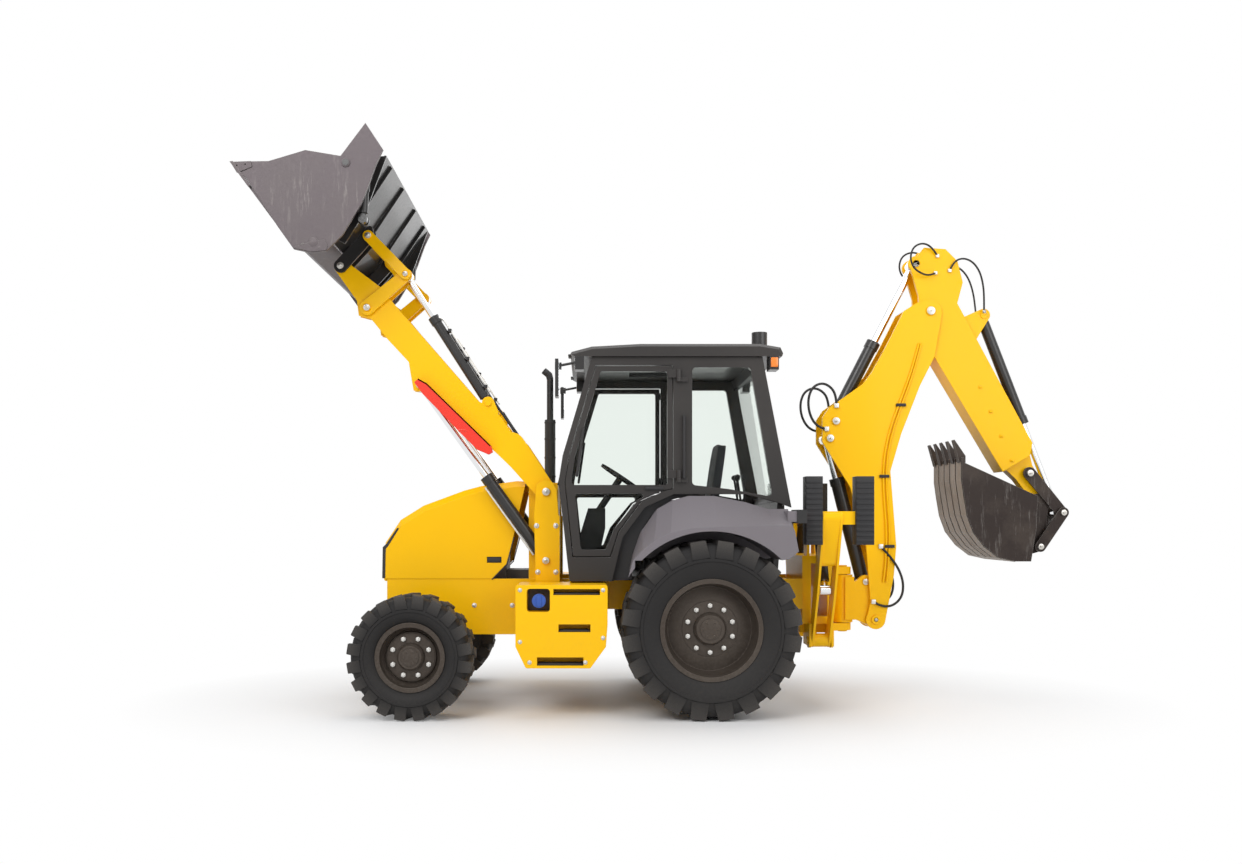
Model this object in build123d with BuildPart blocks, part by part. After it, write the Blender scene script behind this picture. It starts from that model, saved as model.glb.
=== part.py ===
from build123d import *
import os
from math import asin, cos, degrees, hypot, pi, radians, sin, sqrt, tan

os.makedirs("parts", exist_ok=True)

# ---------------------------------------------------------------------------
# Frame: X runs rearward, Y to the machine's right, Z up, all in millimetres.
# Side-view points are (x, z), with x measured rearward from the rear axle.
# ---------------------------------------------------------------------------

# Running gear
WHEELBASE = 2200
FRONT_TYRE_R = 460
FRONT_TYRE_W = 350
FRONT_RIM_R = 232
FRONT_TRACK = 925  # wheel centre from the middle
REAR_TYRE_R = 660
REAR_TYRE_W = 490
REAR_RIM_R = 352
REAR_TRACK = 865
KINGPIN_Y = 790
LUG_H = 26
LUGS = 20  # on each side of a tyre
FIT = 0.08  # radial play of a pin in its bore
SEAT_GAP = 0.3  # gap where two curved faces seat on each other
SIDE_GAP = 1.0  # gap beside an eye, a boss or a link plate

# Loader: side-view pins
ARM_PIVOT = (-1226, 1684)
LIFT_BASE = (-1228, 1150)
LIFT_EYE = (-2212, 2520)
BUCKET_PIN = (-2827, 3443)
LINK_PIN = (-2608, 3672)
LEVER_TOP = (-2319, 3374)
LEVER_PIVOT = (-2620, 3117)
TILT_BASE = (-1681, 2380)
ARM_Y = 455  # middle plane of each loader arm
ARM_W = 80
BUCKET_W = 2360
BUCKET_POCKET = 1030  # half width of the fixed back, between the clam's rams
PLATE = 20  # thickness of levers, links and ears

# Backhoe: side-view pins
SWING_X = 1200
BOOM_FOOT = (1443, 653)
BOOM_RAM_BASE = (1368, 960)
BOOM_RAM_EYE = (1070, 2130)
CROWD_BASE = (1118, 2270)
CROWD_EYE = (1780, 3560)
DIPPER_PIN = (1889, 3167)
HOE_RAM_BASE = (2346, 3146)
IDLER_PIN = (2710, 1847)
HOE_RAM_EYE = (2974, 1525)
HOE_LINK_PIN = (2787, 1248)
HOE_BUCKET_PIN = (2820, 1629)
BOOM_IN = 106  # inner face of the boom's side plates
BOOM_PLATE = 24
DIPPER_IN = 70  # inner face of the dipper's side plates
DIPPER_PLATE = 30
HOE_W = 700  # digging bucket

# Stabilizers: (y, z) of the near-side leg, mirrored for the far one
LEG_PIVOT = (380, 515)
LEG_END = (790, 1480)
LEG_RAM_BASE = (300, 1450)
LEG_RAM_SHARE = 0.42  # how far up the leg its ram is pinned
LEG_X = 935  # middle plane of the legs
LEG_W = 150

# Body
CAB_HALF = 750
HOOD_HALF = 385
FENDER_OUT = 1100
FENDER_IN = 600
RAIL_HALF = 380
BOX_IN = 575
BOX_OUT = 1010
GLASS_T = 6

BUCKET_AT = (-2720, 3400)  # where the bucket's own outline is measured from
LIP = (-753, 637)  # cutting edge
IDLER_EYE_R = 46
AXLE_X = (-(BUCKET_AT[0] + LIP[0]) - (HOE_RAM_EYE[0] + IDLER_EYE_R)) / 2

FRONT_AXLE = (-WHEELBASE, FRONT_TYRE_R)
REAR_AXLE = (0, REAR_TYRE_R)


# ---------------------------------------------------------------------------
# Working helpers
# ---------------------------------------------------------------------------
def side(y):
    """Lengthwise upright plane at y, its normal towards the left (-Y)."""
    return Plane((AXLE_X, y, 0), x_dir=(1, 0, 0), z_dir=(0, -1, 0))


def plate(points, y0, y1, radius=0, mode=Mode.ADD):
    """Flat plate with a polygon side view, between y0 and y1."""
    with BuildSketch(side(y1)) as outline:
        with BuildLine():
            Polyline(*points, close=True)
        make_face()
        if radius:
            fillet(outline.vertices(), radius)
    extrude(outline.sketch, amount=y1 - y0, mode=mode)


def offset_face(points, y, amount, corner):
    """Side-view polygon grown or shrunk by an amount, with rounded corners."""
    with BuildSketch(side(y)) as outline:
        with BuildLine():
            Polyline(*points, close=True)
        make_face()
        if amount:
            offset(amount=amount)
        if corner:
            fillet(outline.vertices(), corner)
    return outline.sketch


def hull(circles, y0, y1, mode=Mode.ADD):
    """Flat plate whose side view wraps circles given as (x, z, radius)."""
    with BuildSketch(side(y1)) as outline:
        for x, z, r in circles:
            with Locations((x, z)):
                Circle(r)
        make_hull()
    extrude(outline.sketch, amount=y1 - y0, mode=mode)


def disc(point, radius, y0, y1, mode=Mode.ADD):
    """Round bar along Y: a pin, a boss or a bore."""
    with BuildSketch(side(y1)) as outline:
        with Locations(point):
            Circle(radius)
    extrude(outline.sketch, amount=y1 - y0, mode=mode)


def block(x0, x1, y0, y1, z0, z1, mode=Mode.ADD):
    """Box between two corners, x from the rear axle."""
    plate([(x0, z0), (x1, z0), (x1, z1), (x0, z1)], y0, y1, mode=mode)


def toward(a, b, distance):
    """Point at a distance from a on the way to b."""
    span = hypot(b[0] - a[0], b[1] - a[1])
    return (a[0] + (b[0] - a[0]) * distance / span, a[1] + (b[1] - a[1]) * distance / span)


def bar(a, b, radius, y, start=0.0, mode=Mode.ADD):
    """Round bar in the side plane at y, from start mm past a up to b."""
    p = toward(a, b, start)
    length = hypot(b[0] - p[0], b[1] - p[1])
    plane = Plane((AXLE_X + p[0], y, p[1]), z_dir=(b[0] - a[0], 0, b[1] - a[1]))
    with BuildSketch(plane) as section:
        Circle(radius)
    extrude(section.sketch, amount=length, mode=mode)


def ram_barrel(base, eye, y, length, radius, rod_r, eye_r, pin_r, half):
    """Cylinder barrel: base eye with its bore, neck, tube, gland and bored inside."""
    neck = eye_r + 10
    disc(base, eye_r, y - half, y + half)
    bar(base, toward(base, eye, neck), min(radius, half - 1), y, start=eye_r * 0.6)
    bar(base, toward(base, eye, length), radius, y, start=neck - 2)
    bar(base, toward(base, eye, length + 1), radius + 6, y, start=length - 60)
    bar(base, toward(base, eye, length + 2), rod_r + 0.3, y, start=neck + 4, mode=Mode.SUBTRACT)
    disc(base, pin_r + FIT, y - half - 1, y + half + 1, mode=Mode.SUBTRACT)


def ram_rod(base, eye, y, start, rod_r, eye_r, half):
    """Cylinder rod: from its piston end inside the barrel to its eye."""
    bar(base, eye, rod_r, y, start=start)
    disc(eye, eye_r, y - half, y + half)


def shifted(point, offset):
    return (point[0] + offset[0], point[1] + offset[1])


# ---------------------------------------------------------------------------
# Wheels: tyres of flat sectors with staggered lugs, rims dished
# ---------------------------------------------------------------------------
def wheel_section(axle, y):
    """Upright plane through a wheel's axis: local x outward, local y up."""
    out = -1 if y < 0 else 1
    return Plane((AXLE_X + axle[0], y, axle[1]), x_dir=(0, out, 0), z_dir=(out, 0, 0))


def spin_section(plane, points, axis):
    with BuildSketch(plane) as section:
        with BuildLine():
            Polyline(*points, close=True)
        make_face()
    revolve(section.sketch, axis=axis)


def make_tyre(axle, y, radius, width, rim_r):
    """Tyre of flat-sided sectors, its slanted and tapered lugs staggered side to side."""
    half = width / 2
    tread = radius - LUG_H
    bead = rim_r + SEAT_GAP
    shoulder = bead * 0.4 + tread * 0.6
    facet = tread * tan(pi / LUGS)
    section = [
        (50 - half, bead), (50 - half, bead + 26), (-half, shoulder), (44 - half, tread),
        (half - 44, tread), (half, shoulder), (half - 50, bead + 26), (half - 50, bead),
    ]
    centre = (AXLE_X + axle[0], y, axle[1])
    axis = Axis(centre, (0, 1, 0))
    with BuildPart() as sector:
        with BuildSketch(Plane(centre, x_dir=(0, 1, 0), z_dir=(1, 0, 0))) as ring:
            with BuildLine():
                Polyline(*section, close=True)
            make_face()
        extrude(ring.sketch, amount=facet + 1, both=True)
        with BuildSketch(Plane(centre, x_dir=(1, 0, 0), z_dir=(0, -1, 0))) as wedge:
            with BuildLine():
                Polyline(
                    (0, 0), (facet * 1.1, tread * 1.1), (-facet * 1.1, tread * 1.1), close=True
                )
            make_face()
        extrude(wedge.sketch, amount=half + 1, both=True, mode=Mode.INTERSECT)
    foot = shoulder + 4
    with BuildSketch(Plane(centre).offset(foot)) as outline:
        with BuildLine():
            Polyline(
                (-facet * 1.15, 6), (-facet * 0.05, 6), (facet * 0.75, half - 5),
                (-facet * 0.6, half - 5), close=True,
            )
        make_face()
    lug = extrude(outline.sketch, amount=radius - foot, taper=9, mode=Mode.PRIVATE)
    heel = max(abs(v.X - centre[0]) for v in lug.faces().sort_by(Axis.Z)[-1].vertices())
    lug = lug.moved(Location((0, 0, sqrt(radius**2 - heel**2) - radius)))
    other = mirror(lug, about=Plane((0, y, 0), z_dir=(0, 1, 0)), mode=Mode.PRIVATE)
    step = 360 / LUGS
    with BuildPart() as tyre:
        add([sector.part.rotate(axis, k * step) for k in range(LUGS)])
        add([lug.rotate(axis, k * step) for k in range(LUGS)])
        add([other.rotate(axis, (k + 0.5) * step) for k in range(LUGS)])
    tyre.part = tyre.part.rotate(axis, degrees(asin(heel / radius)))
    return tyre


def make_rim(axle, y, rim_r, width, dish, hub_r, bolt_r, bore):
    """Rim barrel with flanges, a dished disc and a hub cap; dish is the disc's place."""
    half = width / 2
    plane = wheel_section(axle, y)
    axis = Axis((AXLE_X + axle[0], y, axle[1]), (0, 1, 0))
    with BuildPart() as rim:
        spin_section(
            plane,
            [
                (-half + 38, rim_r + 24), (-half + 38, rim_r - 10), (-half + 90, rim_r - 16),
                (dish - 40, rim_r - 34), (dish - 40, bolt_r + 50), (dish - 12, bolt_r + 30),
                (dish - 12, bore), (dish + 12, bore), (dish + 12, bolt_r + 40),
                (dish - 8, rim_r - 40), (half - 90, rim_r - 16), (half - 38, rim_r - 10),
                (half - 38, rim_r + 24), (half - 49.7, rim_r + 24), (half - 49.7, rim_r),
                (-half + 49.7, rim_r), (-half + 49.7, rim_r + 24),
            ],
            axis,
        )
        spin_section(
            plane,
            [
                (dish + 12, bore), (dish + 12, hub_r), (dish + 50, hub_r - 6),
                (dish + 70, hub_r - 22), (dish + 70, 0), (dish + 50, 0), (dish + 50, bore),
            ],
            axis,
        )
    return rim


# (name, y, steered) for each corner; -Y is the left-hand side
SIDES = [("left", -1), ("right", 1)]
REAR_DISH = 60
FRONT_DISH = 55
REAR_STUB = 70
FRONT_STUB = 48
rear_tyres = {"left": make_tyre(REAR_AXLE, -REAR_TRACK, REAR_TYRE_R, REAR_TYRE_W, REAR_RIM_R)}
front_tyres = {"left": make_tyre(FRONT_AXLE, -FRONT_TRACK, FRONT_TYRE_R, FRONT_TYRE_W, FRONT_RIM_R)}
for tyres in (rear_tyres, front_tyres):
    with BuildPart() as far_tyre:
        mirror(tyres["left"].part, about=Plane.XZ)
    tyres["right"] = far_tyre
rear_rims, front_rims = {}, {}
for name, s in SIDES:
    rear_rims[name] = make_rim(
        REAR_AXLE, s * REAR_TRACK, REAR_RIM_R, REAR_TYRE_W, REAR_DISH, 125, 173, REAR_STUB + FIT
    )
    front_rims[name] = make_rim(
        FRONT_AXLE, s * FRONT_TRACK, FRONT_RIM_R, FRONT_TYRE_W, FRONT_DISH, 105, 142,
        FRONT_STUB + FIT,
    )

# Axles: rear housing with the stubs that its rims turn on, front beam with its yokes
YOKE_H = 150
with BuildPart() as axles:
    disc(REAR_AXLE, 95, -RAIL_HALF - 120, RAIL_HALF + 120)
    disc(REAR_AXLE, 190, -110, 110)
    disc(REAR_AXLE, 150, -150, 150)
    for s in (-1, 1):
        inner, outer = sorted((s * (RAIL_HALF + 60), s * (REAR_TRACK - 150)))
        disc(REAR_AXLE, 150, inner, outer)
        inner, outer = sorted((s * (REAR_TRACK - 150), s * (REAR_TRACK + REAR_DISH - 13)))
        disc(REAR_AXLE, 110, inner, outer)
        inner, outer = sorted((s * REAR_TRACK, s * (REAR_TRACK + REAR_DISH + 45)))
        disc(REAR_AXLE, REAR_STUB, inner, outer)
    block(-110, 110, -RAIL_HALF, RAIL_HALF, REAR_TYRE_R, 760 - SEAT_GAP)
    x = -WHEELBASE
    block(x - 55, x + 55, -KINGPIN_Y + 90, KINGPIN_Y - 90, FRONT_TYRE_R - 65, FRONT_TYRE_R + 65)
    disc(FRONT_AXLE, 140, -110, 110)
    block(x - 80, x + 80, -120, 120, FRONT_TYRE_R, 710 - SEAT_GAP)
    for s in (-1, 1):
        inner, outer = sorted((s * (KINGPIN_Y - 110), s * (KINGPIN_Y - 70)))
        block(x - 50, x + 50, inner, outer, FRONT_TYRE_R - YOKE_H, FRONT_TYRE_R + YOKE_H)
        for z0 in (FRONT_TYRE_R - YOKE_H, FRONT_TYRE_R + YOKE_H - 40):
            inner, outer = sorted((s * (KINGPIN_Y - 110), s * KINGPIN_Y))
            block(x - 50, x + 50, inner, outer, z0, z0 + 40)
            with BuildSketch(Plane((AXLE_X + x, s * KINGPIN_Y, z0))) as boss:
                Circle(50)
            extrude(boss.sketch, amount=40)
        with BuildSketch(Plane((AXLE_X + x, s * KINGPIN_Y, FRONT_TYRE_R - YOKE_H))) as pin_top:
            Circle(22)
        extrude(pin_top.sketch, amount=2 * YOKE_H)

# Steering knuckles: kingpin sleeve, spindle and steering arm
knuckles = {}
for name, s in SIDES:
    with BuildPart() as knuckle:
        x = -WHEELBASE
        low = FRONT_TYRE_R - YOKE_H + 41
        with BuildSketch(Plane((AXLE_X + x, s * KINGPIN_Y, low))) as sleeve:
            Circle(46)
        extrude(sleeve.sketch, amount=2 * (YOKE_H - 41))
        inner, outer = sorted((s * KINGPIN_Y, s * (FRONT_TRACK + FRONT_DISH - 13)))
        disc(FRONT_AXLE, 85, inner, outer)
        inner, outer = sorted((s * FRONT_TRACK, s * (FRONT_TRACK + FRONT_DISH + 45)))
        disc(FRONT_AXLE, FRONT_STUB, inner, outer)
        with BuildSketch(Plane((AXLE_X + x, s * KINGPIN_Y, low - 1))) as bore:
            Circle(22 + FIT)
        extrude(bore.sketch, amount=2 * YOKE_H, mode=Mode.SUBTRACT)
    knuckles[name] = knuckle

# ---------------------------------------------------------------------------
# Chassis: two rails, front bolster, loader towers
# ---------------------------------------------------------------------------
NOSE_X = -2510
RAIL_T = 30
CAB_FLOOR = 1000
RAIL_TOP = CAB_FLOOR - SEAT_GAP
TOWER_IN = (370, 394)
TOWER_OUT = (516, 540)
with BuildPart() as chassis_frame:
    for s in (-1, 1):
        inner, outer = sorted((s * (RAIL_HALF - RAIL_T), s * RAIL_HALF))
        plate(
            [
                (NOSE_X + 20, 710), (NOSE_X + 20, RAIL_TOP), (799.7, RAIL_TOP), (799.7, 760),
                (-900, 760), (-1100, 560), (-1850, 560), (-1880, 710),
            ],
            inner, outer,
        )
    half = RAIL_HALF - RAIL_T
    block(NOSE_X + 20, NOSE_X + 120, -half - 1, half + 1, 710, 940)
    for x0 in (-2320, -2120):
        block(x0, x0 + 40, -half - 1, half + 1, 710, 930)
    block(-2320, -2080, -130, 130, 710, 760)
    block(-1860, -1830, -half - 1, half + 1, 600, 770 - SEAT_GAP)
    block(-1130, -1100, -half - 1, half + 1, 600, 900)
    block(750, 799, -half - 1, half + 1, 770, 970)
    for s in (-1, 1):
        tower = [(-1300, 760), (-1320, 1500), (-1300, 1740), (-1240, 1775), (-1180, 1760),
                 (-1145, 1700), (-1130, 1500), (-1120, 760)]
        for y0, y1 in (TOWER_IN, TOWER_OUT):
            plate(tower, *sorted((s * y0, s * y1)))
        y0, y1 = sorted((s * TOWER_IN[0], s * TOWER_OUT[1]))
        block(-1160, -1120, y0, y1, 760, 1500)
        block(-1300, -1120, y0, y1, 760, 900)
        for point, r in ((ARM_PIVOT, 34), (LIFT_BASE, 30)):
            disc(point, r, *sorted((s * (TOWER_IN[0] - 12), s * (TOWER_OUT[1] + 14))))
            disc(point, r + 22, *sorted((s * TOWER_IN[1], s * (ARM_Y - ARM_W / 2 - SIDE_GAP))))
            disc(point, r + 22, *sorted((s * (ARM_Y + ARM_W / 2 + SIDE_GAP), s * TOWER_OUT[0])))

    plate([(-1370, 970), (-1370, 1740), (-1350, 1760), (-1140, 1760), (-1140, 970)], -365, 365)

# Engine: a plain block at its real place under the hood
with BuildPart() as engine_block:
    block(-2065, -1560, -230, 230, 770, 1380)
    chamfer(engine_block.edges().filter_by(Axis.X).group_by(Axis.Z)[-1], 60)
    block(-1560, -1380, -170, 170, 770, 1060)

# ---------------------------------------------------------------------------
# Hood, its grille and the cowl behind it
# ---------------------------------------------------------------------------
HOOD_TOP = [
    (-2510, 1283), (-2389, 1464), (-2206, 1579), (-1882, 1699), (-1749, 1734), (-1463, 1774),
    (-1395, 1770),
]
HOOD_REAR = [(-1490, 1335), (-1545, 1119), (-1660, 1000)]
HOOD_T = 14
HOOD_EASE = 45  # width of the rounded-off shoulder
GRILLE_BARS = 8
HOOD_HINGE = (-2520, 990)
with BuildPart() as hood:
    full = [(NOSE_X - 16, 1000)] + HOOD_TOP + HOOD_REAR
    eased = [(NOSE_X - 6, 1000), (NOSE_X + 14, 1255)]
    eased += [(x + 14, z - 45) for x, z in HOOD_TOP[1:-1]]
    eased += [(-1400, 1725)] + HOOD_REAR
    flat = HOOD_HALF - HOOD_EASE
    plate(full, -flat, flat)
    for s in (-1, 1):
        loft(
            [offset_face(full, s * flat, 0, 0), offset_face(eased, s * HOOD_HALF, 0, 0)],
            ruled=True,
        )
    inner = [
        (NOSE_X + 4, 980), (NOSE_X + 8, 1275), (-2375, 1446), (-2200, 1560), (-1880, 1680),
        (-1746, 1714), (-1463, 1754), (-1330, 1750), (-1450, 1335), (-1500, 980),
    ]
    plate(inner, -HOOD_HALF + 62, HOOD_HALF - 62, mode=Mode.SUBTRACT)
    plate(
        [(NOSE_X + 4, 980), (NOSE_X + 8, 1240), (-2375, 1400), (-2200, 1510), (-1880, 1630),
         (-1463, 1700), (-1330, 1700), (-1450, 1335), (-1500, 980)],
        -HOOD_HALF + HOOD_T, HOOD_HALF - HOOD_T, mode=Mode.SUBTRACT,
    )
    block(NOSE_X - 40, NOSE_X + 40, -300, 300, 1040, 1250, mode=Mode.SUBTRACT)
    for s in (-1, 1):
        block(-1700, -1585, *sorted((s * 300, s * 400)), 1126, 1174, mode=Mode.SUBTRACT)
    for k in range(GRILLE_BARS):
        z = 1052 + 25 * k
        block(NOSE_X - 8, NOSE_X + 2, -301, 301, z, z + 12)
    for y in (-155, -5, 145):
        block(NOSE_X, NOSE_X + 10, y, y + 10, 1039, 1251)
    for s in (-1, 1):
        disc(HOOD_HINGE, 16, *sorted((s * 190, s * 260)))

# ---------------------------------------------------------------------------
# Side boxes with their steps
# ---------------------------------------------------------------------------
with BuildPart() as side_boxes:
    for s in (-1, 1):
        y0, y1 = sorted((s * BOX_IN, s * BOX_OUT))
        plate(
            [
                (-1433, 987), (-1433, 535), (-1357, 377), (-883, 377), (-769, 535), (-757, 700),
                (-757, 987),
            ],
            y0, y1, radius=18,
        )
        for x0, x1, z0, z1 in (
            (-1155, -813, 914, 958), (-1117, -883, 642, 699), (-1275, -934, 396, 457),
        ):
            block(x0, x1, *sorted((s * (BOX_OUT - 150), s * (BOX_OUT + 1))), z0, z1, mode=Mode.SUBTRACT)
        y0, y1 = sorted((s * (BOX_OUT - 90), s * (BOX_OUT + 1)))
        plate(
            [(-1350, 960), (-1350, 790), (-1180, 790), (-1180, 960)], y0, y1, radius=25,
            mode=Mode.SUBTRACT,
        )
        disc((-1262, 870), 50, *sorted((s * (BOX_OUT - 91), s * (BOX_OUT - 40))))
        y0, y1 = sorted((s * RAIL_HALF, s * BOX_IN))
        for x0 in (-1080, -860):
            block(x0, x0 + 50, y0, y1, 800, 900)

# ---------------------------------------------------------------------------
# Cab
# ---------------------------------------------------------------------------
CAB_TOP = 2700
CAB_WALL = 50
CAB_SIDE = [
    (-872, CAB_TOP), (-1090, 1956), (-1122, 1753), (-1061, 1185), (-1040, CAB_FLOOR),
    (-720, CAB_FLOOR), (-640, 1330), (-470, 1560), (-250, 1660), (300, 1660), (560, 1590),
    (640, 1560), (420, CAB_TOP),
]
DOOR = [
    (-838, 2630), (-1040, 1950), (-1072, 1753), (-1012, 1190), (-735, 1190), (-672, 1380),
    (-500, 1612), (-330, 1690), (-262, 1705), (-262, 2630),
]
QUARTER = [(-112, 2620), (-112, 1730), (160, 1700), (500, 1640), (330, 2620)]
DOOR_GAP = 8
DOOR_T = 42
DOOR_HINGE = (-215, -CAB_HALF - 22)


with BuildPart() as cab_frame:
    for s in (-1, 1):
        y0, y1 = sorted((s * (CAB_HALF - CAB_WALL), s * CAB_HALF))
        plate(CAB_SIDE, y0, y1)
        extrude(offset_face(DOOR, y1 + 1, DOOR_GAP, 0), amount=CAB_WALL + 2, mode=Mode.SUBTRACT)
        extrude(offset_face(QUARTER, y1 + 1, 0, 30), amount=CAB_WALL + 2, mode=Mode.SUBTRACT)
    wide = CAB_HALF - CAB_WALL
    block(-1040, 560, -FENDER_IN, FENDER_IN, CAB_FLOOR, CAB_FLOOR + 30)
    for s in (-1, 1):
        block(-1040, -740, *sorted((s * FENDER_IN, s * wide)), CAB_FLOOR, CAB_FLOOR + 30)
    plate([(-1040, 1000), (-1061, 1185), (-1065, 1230), (-1030, 1230), (-1005, 1000)], -wide, wide)
    plate([(-872, 2700), (-892, 2630), (-850, 2630), (-830, 2700)], -wide, wide)
    plate([(420, 2700), (440, 2620), (400, 2620), (380, 2700)], -wide, wide)
    plate([(560, 1010), (600, 1600), (560, 1600), (520, 1010)], -FENDER_IN, FENDER_IN)
    plate([(628, 1578), (575, 1590), (565, 1650), (612, 1660)], -wide - 1, wide + 1)

    for s in (-1, 1):
        for z in (1780, 2540):
            with BuildSketch(Plane((AXLE_X + DOOR_HINGE[0], s * -DOOR_HINGE[1], z - 31))) as hinge_pin:
                Circle(10)
            extrude(hinge_pin.sketch, amount=92)
            with BuildSketch(Plane((AXLE_X + DOOR_HINGE[0], s * -DOOR_HINGE[1], z - 31))) as hinge_eye:
                Circle(20)
            extrude(hinge_eye.sketch, amount=30)
            y0, y1 = sorted((s * (CAB_HALF - 1), s * (CAB_HALF + 22)))
            block(DOOR_HINGE[0] - 5, -150, y0, y1, z - 31, z - 1)

with BuildPart() as cab_roof:
    plate(
        [(-1034, 2716), (-1025, 2736), (-872, 2776), (-507, 2796), (400, 2796), (555, 2770),
         (575, 2725), (565, CAB_TOP + SEAT_GAP), (-1000, CAB_TOP + SEAT_GAP)],
        -780, 780,
    )
    long_edges = cab_roof.edges().filter_by(
        lambda e: abs(abs(e.center().Y) - 780) < 1 and e.center().Z > 2740
    )
    chamfer(long_edges, 22)

with BuildPart() as cab_glass:
    for s in (-1, 1):
        y0, y1 = sorted((s * (CAB_HALF - 30), s * (CAB_HALF - 30 + GLASS_T)))
        extrude(offset_face(QUARTER, y1, -0.5, 30), amount=GLASS_T)
    wide = CAB_HALF - CAB_WALL - SEAT_GAP
    plate(
        [(-893, 2628), (-1094, 1956), (-1126, 1753), (-1066, 1232), (-1059, 1232),
         (-1119, 1753), (-1087, 1956), (-886, 2628)],
        -wide, wide,
    )
    plate([(441, 2618), (600.7, 1658), (594.7, 1658), (435, 2618)], -wide, wide)

doors, door_glasses = {}, {}
LOWER_LIGHT = [
    (-1000, 1665), (-955, 1240), (-765, 1240), (-705, 1395), (-520, 1618), (-420, 1665),
]
UPPER_LIGHT = [(-805, 2590), (-1000, 1945), (-1028, 1760), (-1020, 1730), (-300, 1730), (-300, 2590)]
for name, s in SIDES:
    with BuildPart() as door:
        y0, y1 = sorted((s * (CAB_HALF - DOOR_T), s * (CAB_HALF - 2)))
        extrude(offset_face(DOOR, y1, 0, 0), amount=DOOR_T - 2)
        for light in (LOWER_LIGHT, UPPER_LIGHT):
            extrude(offset_face(light, y1 + 1, 0, 18), amount=DOOR_T + 2, mode=Mode.SUBTRACT)
        for z in (1780, 2540):
            block(-300, -263, *sorted((s * (CAB_HALF - 4), s * (CAB_HALF + 22))), z, z + 60)
            with BuildSketch(Plane((AXLE_X + DOOR_HINGE[0], s * -DOOR_HINGE[1], z))) as knuckle_ring:
                Circle(20)
            extrude(knuckle_ring.sketch, amount=60)
            block(-264, DOOR_HINGE[0], *sorted((s * (CAB_HALF + 6), s * (CAB_HALF + 22))), z, z + 60)
            with BuildSketch(Plane((AXLE_X + DOOR_HINGE[0], s * -DOOR_HINGE[1], z - 1))) as eye:
                Circle(10 + FIT)
            extrude(eye.sketch, amount=62, mode=Mode.SUBTRACT)
    doors[name] = door
    with BuildPart() as pane:
        y0, y1 = sorted((s * (CAB_HALF - 25), s * (CAB_HALF - 25 + GLASS_T)))
        for light in (LOWER_LIGHT, UPPER_LIGHT):
            extrude(offset_face(light, y1, -0.5, 17.5), amount=GLASS_T)
    door_glasses[name] = pane

# Rear fenders: inner wall, wheel arch and a top that falls away outward
FENDER_TOP = [
    (-600, 1010), (-563, 1197), (-500, 1378), (-380, 1547), (-266, 1612), (-149, 1645),
    (45, 1645), (278, 1599), (447, 1547), (600, 1547), (620, 1443), (628, 1236), (560, 1180),
]
FENDER_LOW = [
    (-620, 1010), (-575, 1170), (-500, 1250), (-420, 1310), (-300, 1373), (-149, 1405),
    (45, 1415), (278, 1420), (447, 1425), (580, 1425), (600, 1380), (628, 1236), (560, 1180),
]
with BuildPart() as rear_fenders:
    for s in (-1, 1):
        y0, y1 = sorted((s * (CAB_HALF + 0.2), s * 820))
        plate(FENDER_TOP, y0, y1)
        high = offset_face(FENDER_TOP, s * 820, 0, 0)
        low = offset_face(FENDER_LOW, s * FENDER_OUT, 0, 0)
        loft([high, low], ruled=True)
        y0, y1 = sorted((s * FENDER_IN, s * (CAB_HALF + 0.2)))
        plate([(x, min(z, 1480)) for x, z in FENDER_TOP], y0, y1)
        block(560, 629 - SEAT_GAP, *sorted((s * 810, s * 1030)), 1450, 1530)
        disc(REAR_AXLE, REAR_TYRE_R + 62, *sorted((s * (FENDER_IN + 14), s * 1200)), mode=Mode.SUBTRACT)
        block(-560, 560, *sorted((s * (FENDER_IN - 1), s * 1200)), 900, 1170, mode=Mode.SUBTRACT)

# ---------------------------------------------------------------------------
# Inside the cab
# ---------------------------------------------------------------------------
SEAT_X = -100
SEAT_Z = 1480
STEER_HUB = (-640, 1800)
STEER_FOOT = (-800, 1560)
with BuildPart() as controls:
    plate([(-990, 1030), (-1010, 1200), (-900, 1560), (-760, 1560), (-760, 1400), (-840, 1030)], -150, 150)
    bar(STEER_FOOT, STEER_HUB, 28, 0, start=-40)
    for y, lean in ((-90, 40), (90, 40), (-210, 0), (210, 0)):
        block(330, 390, y - 30, y + 30, 1030, 1560)
        bar((360, 1550), (360 - lean, 1800), 9, y)
        disc((360 - lean, 1815), 22, y - 20, y + 20)
    block(300, 420, -260, 260, 1030, 1080)
    block(-420, 160, 460, 590, 1030, 1500)

with BuildPart() as steering_wheel:
    wheel_plane = Plane(
        (AXLE_X + STEER_HUB[0], 0, STEER_HUB[1]),
        z_dir=(STEER_HUB[0] - STEER_FOOT[0], 0, STEER_HUB[1] - STEER_FOOT[1]),
    )
    with BuildSketch(wheel_plane.offset(SEAT_GAP)) as hub:
        Circle(45)
    extrude(hub.sketch, amount=36)
    with BuildSketch(wheel_plane.offset(12)) as spokes:
        for angle in (90, 210, 330):
            with Locations((95 * cos(radians(angle)), 95 * sin(radians(angle)))):
                Rectangle(170, 26, rotation=angle)
    extrude(spokes.sketch, amount=10)
    with BuildSketch(wheel_plane.offset(5)) as grip:
        Circle(190)
        Circle(166, mode=Mode.SUBTRACT)
    extrude(grip.sketch, amount=24)

with BuildPart() as seat_base:
    with BuildSketch(Plane((AXLE_X + SEAT_X, 0, CAB_FLOOR + 30 + SEAT_GAP))) as post:
        Circle(110)
    extrude(post.sketch, amount=60)
    block(SEAT_X - 120, SEAT_X + 120, -120, 120, CAB_FLOOR + 85, SEAT_Z - 60)
    block(SEAT_X - 220, SEAT_X + 230, -220, 220, SEAT_Z - 60, SEAT_Z - 30)

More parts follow.
